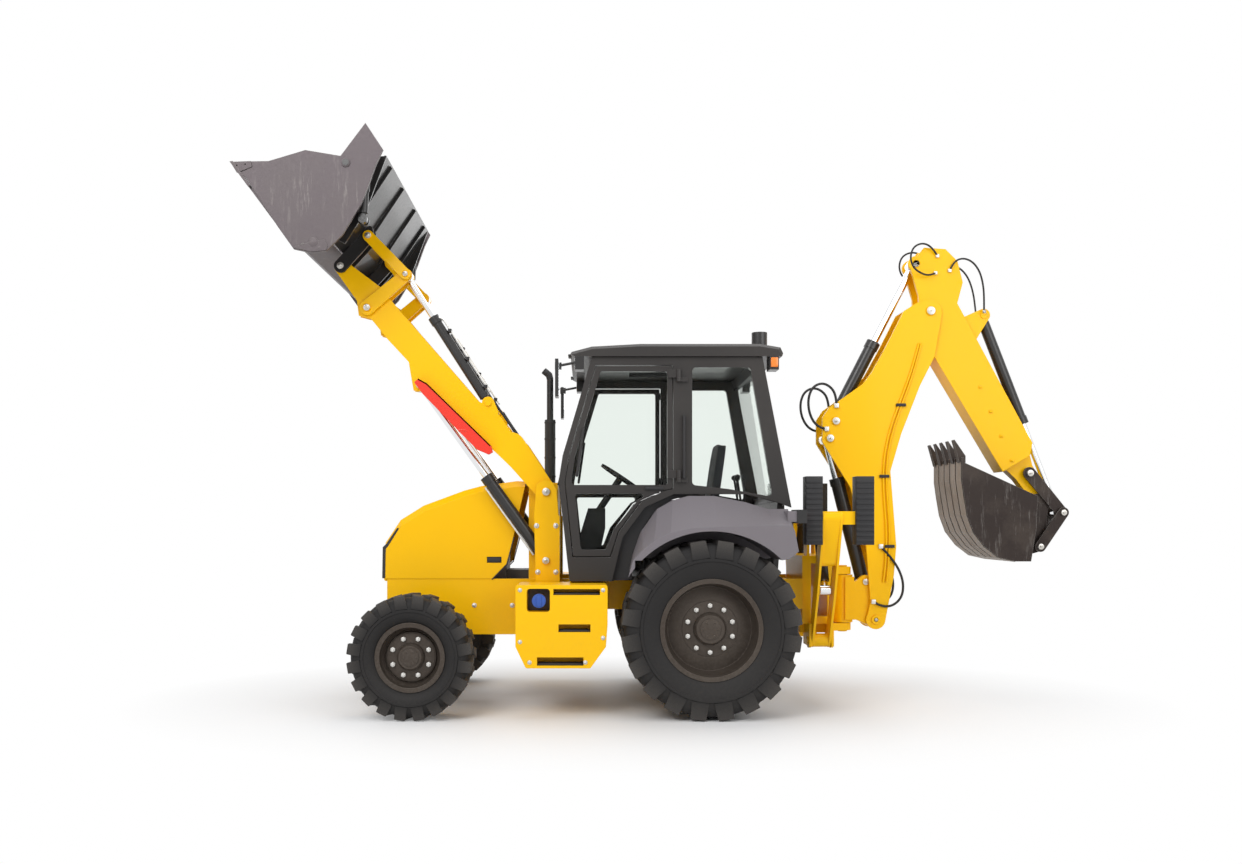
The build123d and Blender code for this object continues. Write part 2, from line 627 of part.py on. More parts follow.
with BuildPart() as seat_cushions:
    plate(
        [(SEAT_X - 240, SEAT_Z - 29.7), (SEAT_X - 250, SEAT_Z + 70), (SEAT_X + 160, SEAT_Z + 70),
         (SEAT_X + 180, SEAT_Z - 29.7)],
        -235, 235, radius=25,
    )
    plate(
        [(SEAT_X + 165, SEAT_Z + 75), (SEAT_X + 250, SEAT_Z + 640), (SEAT_X + 335, SEAT_Z + 640),
         (SEAT_X + 265, SEAT_Z - 29.7), (SEAT_X + 185, SEAT_Z - 29.7)],
        -225, 225, radius=20,
    )

with BuildPart() as exhaust_stack:
    with BuildSketch(Plane((AXLE_X - 1225, 315, 1760.3))) as stack:
        Circle(46)
    extrude(stack.sketch, amount=560)
    with BuildSketch(Plane((AXLE_X - 1225, 315, 2300))) as stack_pipe:
        Circle(28)
    extrude(stack_pipe.sketch, amount=380)

with BuildPart() as lamps:
    for s in (-1, 1):
        y0, y1 = sorted((s * 640, s * 780))
        block(629, 700, *sorted((s * 800, s * 1040)), 1440, 1540)
        for x0, x1 in ((-1000, -930), (470, 540)):
            block(x0, x1, y0, y1, 2600, CAB_TOP)
    with BuildSketch(Plane((AXLE_X + 420, -600, 2796.3))) as beacon_base:
        Circle(60)
    extrude(beacon_base.sketch, amount=110)
    for s in (-1, 1):
        y0, y1 = sorted((s * 790, s * 930))
        bar((-960, 2660), (-1120, 2630), 10, s * 770)
        block(-1145, -1120, y0, y1, 2380, 2660)
        block(-1150, -1100, *sorted((s * 762, s * 800)), 2600, 2650)

# ---------------------------------------------------------------------------
# Loader arms, lift rams, tilt linkage
# ---------------------------------------------------------------------------
ARM_END_R = 78
ARM_TOP = [
    (-1453, 2077), (-1575, 2261), (-1640, 2330), (-1757, 2393), (-2364, 3091), (-2464, 3211),
]
ARM_UNDER = [
    (-2709, 3211), (-2690, 3060), (-2594, 3035), (-2464, 2874), (-2300, 2698), (-2284, 2600),
    (-2262, 2475), (-2150, 2460), (-1614, 1985), (-1384, 1763),
]
ARM_CORE = [
    (-1330, 1780), (-1470, 2060), (-1590, 2250), (-1770, 2350), (-2350, 3060), (-2520, 3240),
    (-2640, 3220), (-2660, 3080), (-2560, 3010), (-2440, 2860), (-2270, 2690), (-1640, 2030),
    (-1400, 1800),
]
ARM_PLATE = 10
LIFT_HALF = 27
lever_0 = ARM_W / 2 + 5
link_0 = lever_0 + PLATE + 5
with BuildPart() as loader_arms:
    for s in (-1, 1):
        lo, hi = ARM_Y - ARM_W / 2, ARM_Y + ARM_W / 2
        for y0, y1 in ((lo, lo + ARM_PLATE), (hi - ARM_PLATE, hi)):
            y0, y1 = sorted((s * y0, s * y1))
            plate(ARM_TOP + ARM_UNDER, y0, y1)
            hull([(*ARM_PIVOT, ARM_END_R), (-1500, 2040, 110)], y0, y1)
            hull([(*BUCKET_PIN, 55), (-2580, 3190, 110)], y0, y1)
            hull([(*TILT_BASE, 48), (-1660, 2300, 60)], y0, y1)
        y0, y1 = sorted((s * (lo + 1), s * (hi - 1)))
        with BuildPart(mode=Mode.PRIVATE) as core:
            plate(ARM_CORE, y0, y1)
            disc(LIFT_EYE, 175, y0 - 1, y1 + 1, mode=Mode.SUBTRACT)
            disc(TILT_BASE, 95, y0 - 1, y1 + 1, mode=Mode.SUBTRACT)
        add(core.part)
        hull([(*ARM_PIVOT, ARM_END_R), (-1400, 1900, 60)], y0, y1)
        hull([(*BUCKET_PIN, 55), (-2600, 3200, 70)], y0, y1)
        disc(TILT_BASE, 26, *sorted((s * (lo - 12), s * (hi + 12))))
        for t in (-1, 1):
            y0, y1 = sorted((s * (ARM_Y + t * (LIFT_HALF + 1)), s * (ARM_Y + t * (ARM_W / 2 + 14))))
            disc(LIFT_EYE, 34, y0, y1)
        disc(LEVER_PIVOT, 28, *sorted((s * (lo - 6 - PLATE - 12), s * (hi + 6 + PLATE + 12))))
        disc(ARM_PIVOT, 34 + FIT, *sorted((s * (lo - 1), s * (hi + 1))), mode=Mode.SUBTRACT)
        disc(BUCKET_PIN, 28 + FIT, *sorted((s * (lo - 1), s * (hi + 1))), mode=Mode.SUBTRACT)
    disc((-2500, 3020), 62, -ARM_Y + ARM_W / 2 - 5, ARM_Y - ARM_W / 2 + 5)

LIFT_LENGTH = 808
TILT_LENGTH = 801
with BuildPart() as lift_barrels:
    for s in (-1, 1):
        ram_barrel(LIFT_BASE, LIFT_EYE, s * ARM_Y, LIFT_LENGTH, 46, 26, 52, 30, 38)
with BuildPart() as lift_rods:
    for s in (-1, 1):
        ram_rod(LIFT_BASE, LIFT_EYE, s * ARM_Y, 772, 26, 50, LIFT_HALF)
with BuildPart() as tilt_barrels:
    for s in (-1, 1):
        ram_barrel(TILT_BASE, LEVER_TOP, s * ARM_Y, TILT_LENGTH, 38, 24, 46, 26, 28)
with BuildPart() as tilt_rods:
    for s in (-1, 1):
        ram_rod(TILT_BASE, LEVER_TOP, s * ARM_Y, 330, 24, 46, 30)

# Levers straddle the arms; links run outside the levers
with BuildPart() as tilt_levers:
    for s in (-1, 1):
        for t in (-1, 1):
            y0, y1 = sorted((s * (ARM_Y + t * lever_0), s * (ARM_Y + t * (lever_0 + PLATE))))
            hull([(*LEVER_PIVOT, 58), (*LEVER_TOP, 48)], y0, y1)
            disc(LEVER_PIVOT, 28 + FIT, y0 - 1, y1 + 1, mode=Mode.SUBTRACT)
            y0, y1 = sorted((s * (ARM_Y + t * lever_0), s * (ARM_Y + t * (link_0 + PLATE + 6))))
            disc(LEVER_TOP, 22, y0, y1)
            y0, y1 = sorted((s * (ARM_Y + t * 31), s * (ARM_Y + t * (lever_0 + 1))))
            disc(LEVER_TOP, 44, y0, y1)
with BuildPart() as tilt_links:
    for s in (-1, 1):
        for t in (-1, 1):
            y0, y1 = sorted((s * (ARM_Y + t * link_0), s * (ARM_Y + t * (link_0 + PLATE))))
            hull([(*LEVER_TOP, 42), (*LINK_PIN, 42)], y0, y1)
            disc(LEVER_TOP, 22 + FIT, y0 - 1, y1 + 1, mode=Mode.SUBTRACT)
            y0, y1 = sorted((s * (ARM_Y + t * link_0), s * (ARM_Y + t * (link_0 + PLATE + 8))))
            disc(LINK_PIN, 26, y0, y1)

# ---------------------------------------------------------------------------
# Loader bucket: fixed back and an opening clam
# ---------------------------------------------------------------------------
CLAM_PIVOT = shifted(BUCKET_AT, (79, 632))
CLAM_RAM_EYE = shifted(BUCKET_AT, (205, 677))
CLAM_RAM_BASE = shifted(BUCKET_AT, (185, 250))
CLAM_RAM_Y = 1085
SIDE_IN = BUCKET_W / 2 - 32
SIDE_OUT = BUCKET_W / 2 - 8
BACK = [
    (-98, 150), (20, 245), (150, 440), (347, 726), (333, 731), (138, 448), (10, 256), (-104, 164),
]
BACK_CHEEK = [
    (42, 85), (201, 337), (347, 726), (230, 720), (40, 660), (20, 600), (60, 330), (-60, 140),
]
CLAM_SIDE = [
    LIP, (-474, 642), (-211, 721), (42, 679), (221, 916), (347, 726), (295, 616), (231, 437),
    (189, 332), (53, 111), (-63, -5), (-168, -16), (-295, 11), (-411, 174), (-627, 510),
]
CLAM_FLOOR = [
    LIP, (-411, 174), (-300, 85), (-210, 118), (-114, 152), (-120, 166), (-212, 134),
    (-296, 104), (-400, 188), (-740, 650),
]
BUCKET_EARS = [(66, 190), (120, 330)]
with BuildPart() as bucket_back:
    half = BUCKET_POCKET
    plate([shifted(BUCKET_AT, p) for p in BACK], -half, half)
    for s in (-1, 1):
        y0, y1 = sorted((s * (half - 14), s * half))
        plate([shifted(BUCKET_AT, p) for p in BACK_CHEEK], y0, y1)
        disc(CLAM_PIVOT, 24, *sorted((s * (half - 14), s * (SIDE_OUT + 8))))
        disc(CLAM_RAM_BASE, 18, *sorted((s * (half - 14), s * (CLAM_RAM_Y + 26))))
        for t in (-1, 1):
            y0, y1 = sorted((s * (ARM_Y + t * lever_0), s * (ARM_Y + t * (lever_0 + PLATE))))
            webs = [(*shifted(BUCKET_AT, p), 24) for p in BUCKET_EARS]
            hull([(*BUCKET_PIN, 52), (*LINK_PIN, 42)] + webs, y0, y1)
        y0, y1 = sorted((s * (half - 14), s * half))
        hull([(*CLAM_RAM_BASE, 34), (*shifted(BUCKET_AT, (110, 300)), 30)], y0, y1)
        span = lever_0 + PLATE + 8
        disc(BUCKET_PIN, 28, *sorted((s * (ARM_Y - span), s * (ARM_Y + span))))

with BuildPart() as bucket_clam:
    plate([shifted(BUCKET_AT, p) for p in CLAM_FLOOR], -SIDE_IN - 1, SIDE_IN + 1)
    for s in (-1, 1):
        y0, y1 = sorted((s * SIDE_IN, s * SIDE_OUT))
        plate([shifted(BUCKET_AT, p) for p in CLAM_SIDE], y0, y1)
        disc(CLAM_PIVOT, 24 + FIT, y0 - 1, y1 + 1, mode=Mode.SUBTRACT)
    lip_plate = [LIP, (-620, 457), (-606, 468), (-730, 640)]
    plate([shifted(BUCKET_AT, p) for p in lip_plate], -BUCKET_W / 2, BUCKET_W / 2)

with BuildPart() as clam_rams:
    for s in (-1, 1):
        ram_barrel(CLAM_RAM_BASE, CLAM_RAM_EYE, s * CLAM_RAM_Y, 255, 34, 18, 34, 18, 25)
with BuildPart() as clam_rods:
    for s in (-1, 1):
        ram_rod(CLAM_RAM_BASE, CLAM_RAM_EYE, s * CLAM_RAM_Y, 200, 18, 34, 25)

# ---------------------------------------------------------------------------
# Backhoe frame, stabilizers, swing casting
# ---------------------------------------------------------------------------
LUG_R = 68
UPPER_LUG = (1020, 1080)
LOWER_LUG = (560, 620)
KINGPIN_R = 38
with BuildPart() as backhoe_frame:
    block(800, 1040, -350, 350, 640, 1180)
    block(870, 1000, -351, 351, 700, 1120, mode=Mode.SUBTRACT)
    block(800, 1040, -240, 240, 560, 641)
    for z0, z1 in (UPPER_LUG, LOWER_LUG):
        with BuildSketch(Plane((AXLE_X, 0, z0))) as lug:
            with Locations((SWING_X, 0)):
                Circle(LUG_R)
            with Locations((1000, -120), (1000, 120)):
                Circle(20)
            make_hull()
        extrude(lug.sketch, amount=z1 - z0)
    with BuildSketch(Plane((AXLE_X + SWING_X, 0, LOWER_LUG[0] - 12))) as kingpin:
        Circle(KINGPIN_R)
    extrude(kingpin.sketch, amount=UPPER_LUG[1] - LOWER_LUG[0] + 24)
    for s in (-1, 1):
        for x0 in (LEG_X - LEG_W / 2 - 22, LEG_X + LEG_W / 2 + 2):
            block(x0, x0 + 20, *sorted((s * 200, s * 440)), 470, 650)
            block(x0, x0 + 20, *sorted((s * 220, s * 350)), 1170, 1500)
            with BuildSketch(Plane.YZ.offset(AXLE_X + x0)) as ear:
                with Locations((s * LEG_PIVOT[0], LEG_PIVOT[1])):
                    Circle(60)
                with Locations((s * LEG_RAM_BASE[0], LEG_RAM_BASE[1])):
                    Circle(50)
            extrude(ear.sketch, amount=20)
        with BuildSketch(Plane.YZ.offset(AXLE_X + LEG_X - LEG_W / 2 - 30)) as leg_pins:
            with Locations((s * LEG_PIVOT[0], LEG_PIVOT[1])):
                Circle(28)
            with Locations((s * LEG_RAM_BASE[0], LEG_RAM_BASE[1])):
                Circle(22)
        extrude(leg_pins.sketch, amount=LEG_W + 60)


def across_plane(x):
    """Upright crosswise plane at x from the rear axle: local x is Y, local y is Z."""
    return Plane((AXLE_X + x, 0, 0), x_dir=(0, 1, 0), z_dir=(1, 0, 0))


def cross_hull(circles, s, x0, x1, mode=Mode.ADD):
    with BuildSketch(across_plane(x0)) as outline:
        for y, z, r in circles:
            with Locations((s * y, z)):
                Circle(r)
        if len(circles) > 1:
            make_hull()
    extrude(outline.sketch, amount=x1 - x0, mode=mode)


def cross_bar(a, b, s, radius, x, start=0.0, mode=Mode.ADD):
    p = toward(a, b, start)
    length = hypot(b[0] - p[0], b[1] - p[1])
    plane = Plane((AXLE_X + x, s * p[0], p[1]), z_dir=(0, s * (b[0] - a[0]), b[1] - a[1]))
    with BuildSketch(plane) as section:
        Circle(radius)
    extrude(section.sketch, amount=length, mode=mode)


LEG_RAM_EYE = (
    LEG_PIVOT[0] + LEG_RAM_SHARE * (LEG_END[0] - LEG_PIVOT[0]),
    LEG_PIVOT[1] + LEG_RAM_SHARE * (LEG_END[1] - LEG_PIVOT[1]),
)
LEG_WALL = 18
PADS = [(735, 850), (1110, 1235)]  # fore-and-aft span of each shoe
legs, leg_barrels, leg_rods = {}, {}, {}
for name, s in SIDES:
    front, rear = LEG_X - LEG_W / 2, LEG_X + LEG_W / 2
    with BuildPart() as leg:
        for x0, x1 in ((front, front + LEG_WALL), (rear - LEG_WALL, rear)):
            cross_hull([(*LEG_PIVOT, 55), (*LEG_RAM_EYE, 75), (*LEG_END, 50)], s, x0, x1)
        tip = toward(LEG_PIVOT, LEG_END, 700)
        cross_hull([(*tip, 48), (*LEG_END, 48)], s, front, rear)
        cross_hull([(*LEG_PIVOT, 53)], s, front, rear)
        for x0, x1 in PADS:
            block(x0, x1, *sorted((s * 735, s * 850)), 1283, 1787)
        y0, y1 = sorted((s * (LEG_END[0] - 30), s * (LEG_END[0] + 30)))
        block(PADS[0][1] - 5, PADS[1][0] + 5, y0, y1, 1430, 1530)
        cross_hull([(*LEG_PIVOT, 28 + FIT)], s, front - 1, rear + 1, mode=Mode.SUBTRACT)
    legs[name] = leg
    with BuildPart() as leg_barrel:
        cross_hull([(*LEG_RAM_BASE, 42)], s, LEG_X - 45, LEG_X + 45)
        cross_bar(LEG_RAM_BASE, toward(LEG_RAM_BASE, LEG_RAM_EYE, 510), s, 42, LEG_X, start=25)
        cross_bar(
            LEG_RAM_BASE, toward(LEG_RAM_BASE, LEG_RAM_EYE, 512), s, 24.3, LEG_X, start=60,
            mode=Mode.SUBTRACT,
        )
        cross_hull([(*LEG_RAM_BASE, 22 + FIT)], s, LEG_X - 46, LEG_X + 46, mode=Mode.SUBTRACT)
    leg_barrels[name] = leg_barrel
    with BuildPart() as leg_rod:
        cross_bar(LEG_RAM_BASE, LEG_RAM_EYE, s, 24, LEG_X, start=70)
        cross_hull([(*LEG_RAM_EYE, 40)], s, LEG_X - 40, LEG_X + 40)
    leg_rods[name] = leg_rod

with BuildPart() as swing_casting:
    with BuildSketch(Plane((AXLE_X + SWING_X, 0, LOWER_LUG[1] + 5))) as hub:
        Circle(82)
    extrude(hub.sketch, amount=UPPER_LUG[0] - LOWER_LUG[1] - 10)
    plate(
        [(SWING_X, 650), (SWING_X, 1000), (1270, 1000), (1290, 890), (1368, 890), (1400, 760),
         (1443, 720), (1443, 590), (1400, 600), (1300, 650)],
        -100, 100,
    )
    disc(BOOM_FOOT, 70, -100, 100)
    for s in (-1, 1):
        y0, y1 = sorted((s * 62, s * 98))
        hull([(*BOOM_RAM_BASE, 55), (1300, 900, 60), (1340, 760, 60)], y0, y1)
    disc(BOOM_RAM_BASE, 74, -61, 61, mode=Mode.SUBTRACT)
    disc(BOOM_RAM_BASE, 30, -104, 104)
    disc(BOOM_FOOT, 36, -BOOM_IN - BOOM_PLATE - 12, BOOM_IN + BOOM_PLATE + 12)
    with BuildSketch(Plane((AXLE_X + SWING_X, 0, 600))) as bore:
        Circle(KINGPIN_R + FIT)
    extrude(bore.sketch, amount=450, mode=Mode.SUBTRACT)

# ---------------------------------------------------------------------------
# Boom and its ram
# ---------------------------------------------------------------------------
BOOM_OUTLINE = [
    (1365, 640), (1520, 640), (1590, 1012), (1610, 1253), (1562, 1862), (1650, 2166),
    (1802, 2557), (1922, 2796), (1985, 3160), (1889, 3262), (1780, 3235), (1672, 3167),
    (1541, 2906), (1410, 2666), (1333, 2569), (1060, 2375), (1008, 2297), (1008, 2101),
    (1235, 1732), (1365, 1250), (1400, 800),
]
BOOM_CORE = [
    (1420, 1200), (1590, 1200), (1545, 1862), (1633, 2170), (1785, 2560), (1740, 2600),
    (1560, 2900), (1425, 2640), (1345, 2540), (1290, 2300), (1230, 2000), (1290, 1732),
    (1400, 1250),
]
with BuildPart() as boom:
    for s in (-1, 1):
        y0, y1 = sorted((s * BOOM_IN, s * (BOOM_IN + BOOM_PLATE)))
        plate(BOOM_OUTLINE, y0, y1)
        disc(BOOM_FOOT, 78, y0, y1)
        disc(DIPPER_PIN, 90, y0, y1)
        for point in (BOOM_RAM_EYE, CROWD_BASE):
            disc(point, 55, *sorted((s * 44, s * (BOOM_IN + 1))))
            disc(point, 34, *sorted((s * (BOOM_IN + BOOM_PLATE - 1), s * (BOOM_IN + BOOM_PLATE + 12))))
        disc(BOOM_FOOT, 36 + FIT, y0 - 1, y1 + 1, mode=Mode.SUBTRACT)
    with BuildPart(mode=Mode.PRIVATE) as core:
        plate(BOOM_CORE, -BOOM_IN - 1, BOOM_IN + 1)
        disc(DIPPER_PIN, 545, -BOOM_IN - 2, BOOM_IN + 2, mode=Mode.SUBTRACT)
        disc(CROWD_BASE, 130, -BOOM_IN - 2, BOOM_IN + 2, mode=Mode.SUBTRACT)
        disc(BOOM_RAM_EYE, 175, -BOOM_IN - 2, BOOM_IN + 2, mode=Mode.SUBTRACT)
    add(core.part)
    disc(CROWD_BASE, 30, -50, 50)
    disc(DIPPER_PIN, 38, -BOOM_IN - BOOM_PLATE - 12, BOOM_IN + BOOM_PLATE + 12)

with BuildPart() as boom_ram:
    ram_barrel(BOOM_RAM_BASE, BOOM_RAM_EYE, 0, 877, 56, 34, 56, 30, 57)
with BuildPart() as boom_rod:
    ram_rod(BOOM_RAM_BASE, BOOM_RAM_EYE, 0, 180, 34, 54, 41)
with BuildPart() as crowd_ram:
    ram_barrel(CROWD_BASE, CROWD_EYE, 0, 742, 52, 32, 54, 30, 43)
with BuildPart() as crowd_rod:
    ram_rod(CROWD_BASE, CROWD_EYE, 0, 720, 32, 52, 41)

# ---------------------------------------------------------------------------
# Dipper: an open-backed jacket, and the extension that slides inside it
# ---------------------------------------------------------------------------
reach = (HOE_BUCKET_PIN[0] - DIPPER_PIN[0], HOE_BUCKET_PIN[1] - DIPPER_PIN[1])
reach_len = hypot(*reach)
ALONG = (reach[0] / reach_len, reach[1] / reach_len)
OFF = (-ALONG[1], ALONG[0])


def dip(along, off):
    """Side-view point along the dipper from its pin, and off to its back side."""
    return (
        DIPPER_PIN[0] + ALONG[0] * along + OFF[0] * off,
        DIPPER_PIN[1] + ALONG[1] * along + OFF[1] * off,
    )


JACKET_END = 1430
JACKET_BACK = 165
JACKET_FRONT = -165
INNER_HALF = 62
with BuildPart() as dipper:
    for s in (-1, 1):
        y0, y1 = sorted((s * DIPPER_IN, s * (DIPPER_IN + DIPPER_PLATE)))
        plate(
            [
                (1780, 3610), (1845, 3690), (2020, 3678), (2118, 3580), (2162, 3406),
                dip(60, 230), dip(JACKET_END - 75, JACKET_BACK), dip(JACKET_END, 95),
                dip(JACKET_END, JACKET_FRONT),
                dip(300, -155), dip(60, -120), (1800, 3300), (1725, 3560),
            ],
            y0, y1,
        )
        disc(CROWD_EYE, 62, y0, y1)
        disc(CROWD_EYE, 50, *sorted((s * 44, s * (DIPPER_IN + 1))))
        disc(CROWD_EYE, 32, *sorted((s * (DIPPER_IN + DIPPER_PLATE - 1), s * (DIPPER_IN + DIPPER_PLATE + 4))))
        disc(DIPPER_PIN, 38 + FIT, y0 - 1, y1 + 1, mode=Mode.SUBTRACT)
        pad = [dip(1180, -110), dip(1180, -30), dip(1300, -30), dip(1300, -110)]
        plate(pad, *sorted((s * (INNER_HALF + SEAT_GAP), s * (DIPPER_IN + 1))))
    front_wall = [dip(320, -155), dip(320, -135), dip(JACKET_END, -145), dip(JACKET_END, -165)]
    plate(front_wall, -DIPPER_IN - 1, DIPPER_IN + 1)
    head = [(1990, 3640), (2090, 3560), (2130, 3400), dip(-60, 200), dip(-80, 130), (1960, 3500)]
    plate(head, -DIPPER_IN - 1, DIPPER_IN + 1)
    disc(DIPPER_PIN, 70, -DIPPER_IN - 1, DIPPER_IN + 1)
    disc(DIPPER_PIN, 38 + FIT, -120, 120, mode=Mode.SUBTRACT)

NOSE_HALF = 50
with BuildPart() as dipper_extension:
    plate(
        [dip(200, -120), dip(200, 125), dip(1400, 125), dip(1560, 75), dip(1640, 60),
         dip(1640, -60), dip(1400, -128)],
        -INNER_HALF, INNER_HALF,
    )
    plate(
        [dip(1380, 125), dip(1420, 118), dip(1560, 75), dip(1640, 60), dip(1640, -60),
         dip(1400, -126)],
        -NOSE_HALF, NOSE_HALF,
    )
    hull([(*IDLER_PIN, 62), (*HOE_BUCKET_PIN, 62), (*dip(1500, 0), 90)], -NOSE_HALF, NOSE_HALF)
    for s in (-1, 1):
        y0, y1 = sorted((s * NOSE_HALF, s * (INNER_HALF + 1)))
        disc(IDLER_PIN, 225, y0, y1, mode=Mode.SUBTRACT)
        pad = [dip(210, 10), dip(210, 100), dip(330, 100), dip(330, 10)]
        plate(pad, *sorted((s * (INNER_HALF - 1), s * (DIPPER_IN - SEAT_GAP))))
        y0, y1 = sorted((s * 46, s * 64))
        hull([(*HOE_RAM_BASE, 52), (*dip(230, 130), 60), (*dip(420, 110), 30)], y0, y1)
    hull([(*dip(235, 150), 40), (*dip(420, 110), 30)], -46, 46)
    disc(HOE_RAM_BASE, 28, -74, 74)
    disc(IDLER_PIN, 30 + FIT, -NOSE_HALF - 1, NOSE_HALF + 1, mode=Mode.SUBTRACT)
    disc(HOE_BUCKET_PIN, 32 + FIT, -NOSE_HALF - 1, NOSE_HALF + 1, mode=Mode.SUBTRACT)

with BuildPart() as hoe_ram:
    ram_barrel(HOE_RAM_BASE, HOE_RAM_EYE, 0, 952, 44, 28, 50, 28, 43)
with BuildPart() as hoe_rod:
    ram_rod(HOE_RAM_BASE, HOE_RAM_EYE, 0, 880, 28, 44, 34)
# Outward from the nose: bucket ears, idlers, links
EAR = (NOSE_HALF + 5, NOSE_HALF + 5 + PLATE)
IDLER = (EAR[1] + 5, EAR[1] + 5 + PLATE)
HOE_LINK = (IDLER[1] + 5, IDLER[1] + 5 + PLATE)
with BuildPart() as idler_links:
    for s in (-1, 1):
        hull([(*IDLER_PIN, 50), (*HOE_RAM_EYE, IDLER_EYE_R)], *sorted((s * IDLER[0], s * IDLER[1])))
        disc(HOE_RAM_EYE, 26, *sorted((s * 36, s * (HOE_LINK[1] + 8))))
        disc(HOE_RAM_EYE, 40, *sorted((s * 36, s * (NOSE_HALF + 2))))
    disc(IDLER_PIN, 30, -IDLER[1] - 12, IDLER[1] + 12)
with BuildPart() as hoe_links:
    for s in (-1, 1):
        y0, y1 = sorted((s * HOE_LINK[0], s * HOE_LINK[1]))
        hull([(*HOE_RAM_EYE, 44), (*HOE_LINK_PIN, 44)], y0, y1)
        disc(HOE_RAM_EYE, 26 + FIT, y0 - 1, y1 + 1, mode=Mode.SUBTRACT)
        disc(HOE_LINK_PIN, 26, *sorted((s * (HOE_LINK[0] + 1), s * (HOE_LINK[1] + 8))))

# ---------------------------------------------------------------------------
# Digging bucket with five teeth
# ---------------------------------------------------------------------------
HOE_SIDE = [
    (2068, 1930), (2068, 1784), (2086, 1655), (2112, 1500), (2163, 1363), (2249, 1252),
    (2361, 1166), (2498, 1135), (2618, 1135), (2660, 1400), (2670, 1655),
]
SHELL_T = 16
HOE_TEETH = 5
with BuildPart() as hoe_bucket:
    plate(HOE_SIDE, -HOE_W / 2, HOE_W / 2)
    hollow = [
        (2068 + SHELL_T, 1940), (2086 + SHELL_T, 1784), (2102 + SHELL_T, 1655), (2128, 1505),
        (2177, 1372), (2260, 1266), (2367, 1182), (2500, 1151), (2604, 1151), (2644, 1400),
        (2654, 1640), (2700, 1720), (2200, 2060),
    ]
    plate(hollow, -HOE_W / 2 + SHELL_T, HOE_W / 2 - SHELL_T, mode=Mode.SUBTRACT)
    for s in (-1, 1):
        hull(
            [(*HOE_BUCKET_PIN, 58), (*HOE_LINK_PIN, 44), (2640, 1180, 20), (2652, 1630, 20)],
            *sorted((s * EAR[0], s * EAR[1])),
        )
    disc(HOE_BUCKET_PIN, 32, -EAR[1] - 1, EAR[1] + 1)
    lip = [(2068, 1900), (2068, 1960), (2086, 1960), (2092, 1900)]
    plate(lip, -HOE_W / 2, HOE_W / 2)
    pitch = (HOE_W - 90) / (HOE_TEETH - 1)
    for k in range(HOE_TEETH):
        y = -HOE_W / 2 + 45 + k * pitch
        plate([(2056, 1920), (2007, 2100), (2016, 2104), (2104, 1975), (2104, 1920)], y - 26, y + 26)

# ---------------------------------------------------------------------------
# Hand over: one STEP file for each sub-part
# ---------------------------------------------------------------------------
pieces = {
    "chassis_frame": chassis_frame, "engine_block": engine_block, "axles": axles,
    "side_boxes": side_boxes, "hood": hood, "exhaust_stack": exhaust_stack,
    "cab_frame": cab_frame, "cab_roof": cab_roof, "cab_glass": cab_glass,
    "rear_fenders": rear_fenders, "controls": controls, "steering_wheel": steering_wheel,
    "seat_base": seat_base, "seat_cushions": seat_cushions, "lamps_mirrors": lamps,
    "loader_arms": loader_arms, "lift_barrels": lift_barrels, "lift_rods": lift_rods,
    "tilt_barrels": tilt_barrels, "tilt_rods": tilt_rods, "tilt_levers": tilt_levers,
    "tilt_links": tilt_links, "bucket_back": bucket_back, "bucket_clam": bucket_clam,
    "clam_rams": clam_rams, "clam_rods": clam_rods, "backhoe_frame": backhoe_frame,
    "swing_casting": swing_casting, "boom": boom, "boom_ram": boom_ram, "boom_rod": boom_rod,
    "crowd_ram": crowd_ram, "crowd_rod": crowd_rod, "dipper": dipper,
    "dipper_extension": dipper_extension, "hoe_ram": hoe_ram, "hoe_rod": hoe_rod,
    "idler_links": idler_links, "hoe_links": hoe_links, "hoe_bucket": hoe_bucket,
}
for name, s in SIDES:
    pieces["rear_tyre_" + name] = rear_tyres[name]
    pieces["rear_rim_" + name] = rear_rims[name]
    pieces["front_tyre_" + name] = front_tyres[name]
    pieces["front_rim_" + name] = front_rims[name]
    pieces["knuckle_" + name] = knuckles[name]
    pieces["door_" + name] = doors[name]
    pieces["door_glass_" + name] = door_glasses[name]
    pieces["stabilizer_" + name] = legs[name]
    pieces["stabilizer_ram_" + name] = leg_barrels[name]
    pieces["stabilizer_rod_" + name] = leg_rods[name]

for name, piece in pieces.items():
    piece.part.label = name
    export_step(piece.part, "parts/" + name + ".step")
print(len(pieces), "pieces")
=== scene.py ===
import math

import bmesh
import bpy
from bpy.props import FloatProperty, FloatVectorProperty, PointerProperty
from mathutils import Matrix, Vector


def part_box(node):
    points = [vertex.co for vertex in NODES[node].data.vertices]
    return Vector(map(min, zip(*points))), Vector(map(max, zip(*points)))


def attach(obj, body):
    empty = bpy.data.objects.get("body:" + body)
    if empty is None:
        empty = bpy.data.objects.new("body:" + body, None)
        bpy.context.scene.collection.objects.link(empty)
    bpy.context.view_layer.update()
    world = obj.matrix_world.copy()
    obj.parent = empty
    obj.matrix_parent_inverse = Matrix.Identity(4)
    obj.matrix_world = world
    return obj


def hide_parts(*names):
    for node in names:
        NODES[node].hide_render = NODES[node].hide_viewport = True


bl_info = {
    "name": "Backhoe loader",
    "version": (1, 0, 0),
    "blender": (4, 5, 0),
    "location": "3D View > Sidebar > Backhoe",
    "description": "Finishes and fittings of a backhoe loader",
    "category": "Object",
}

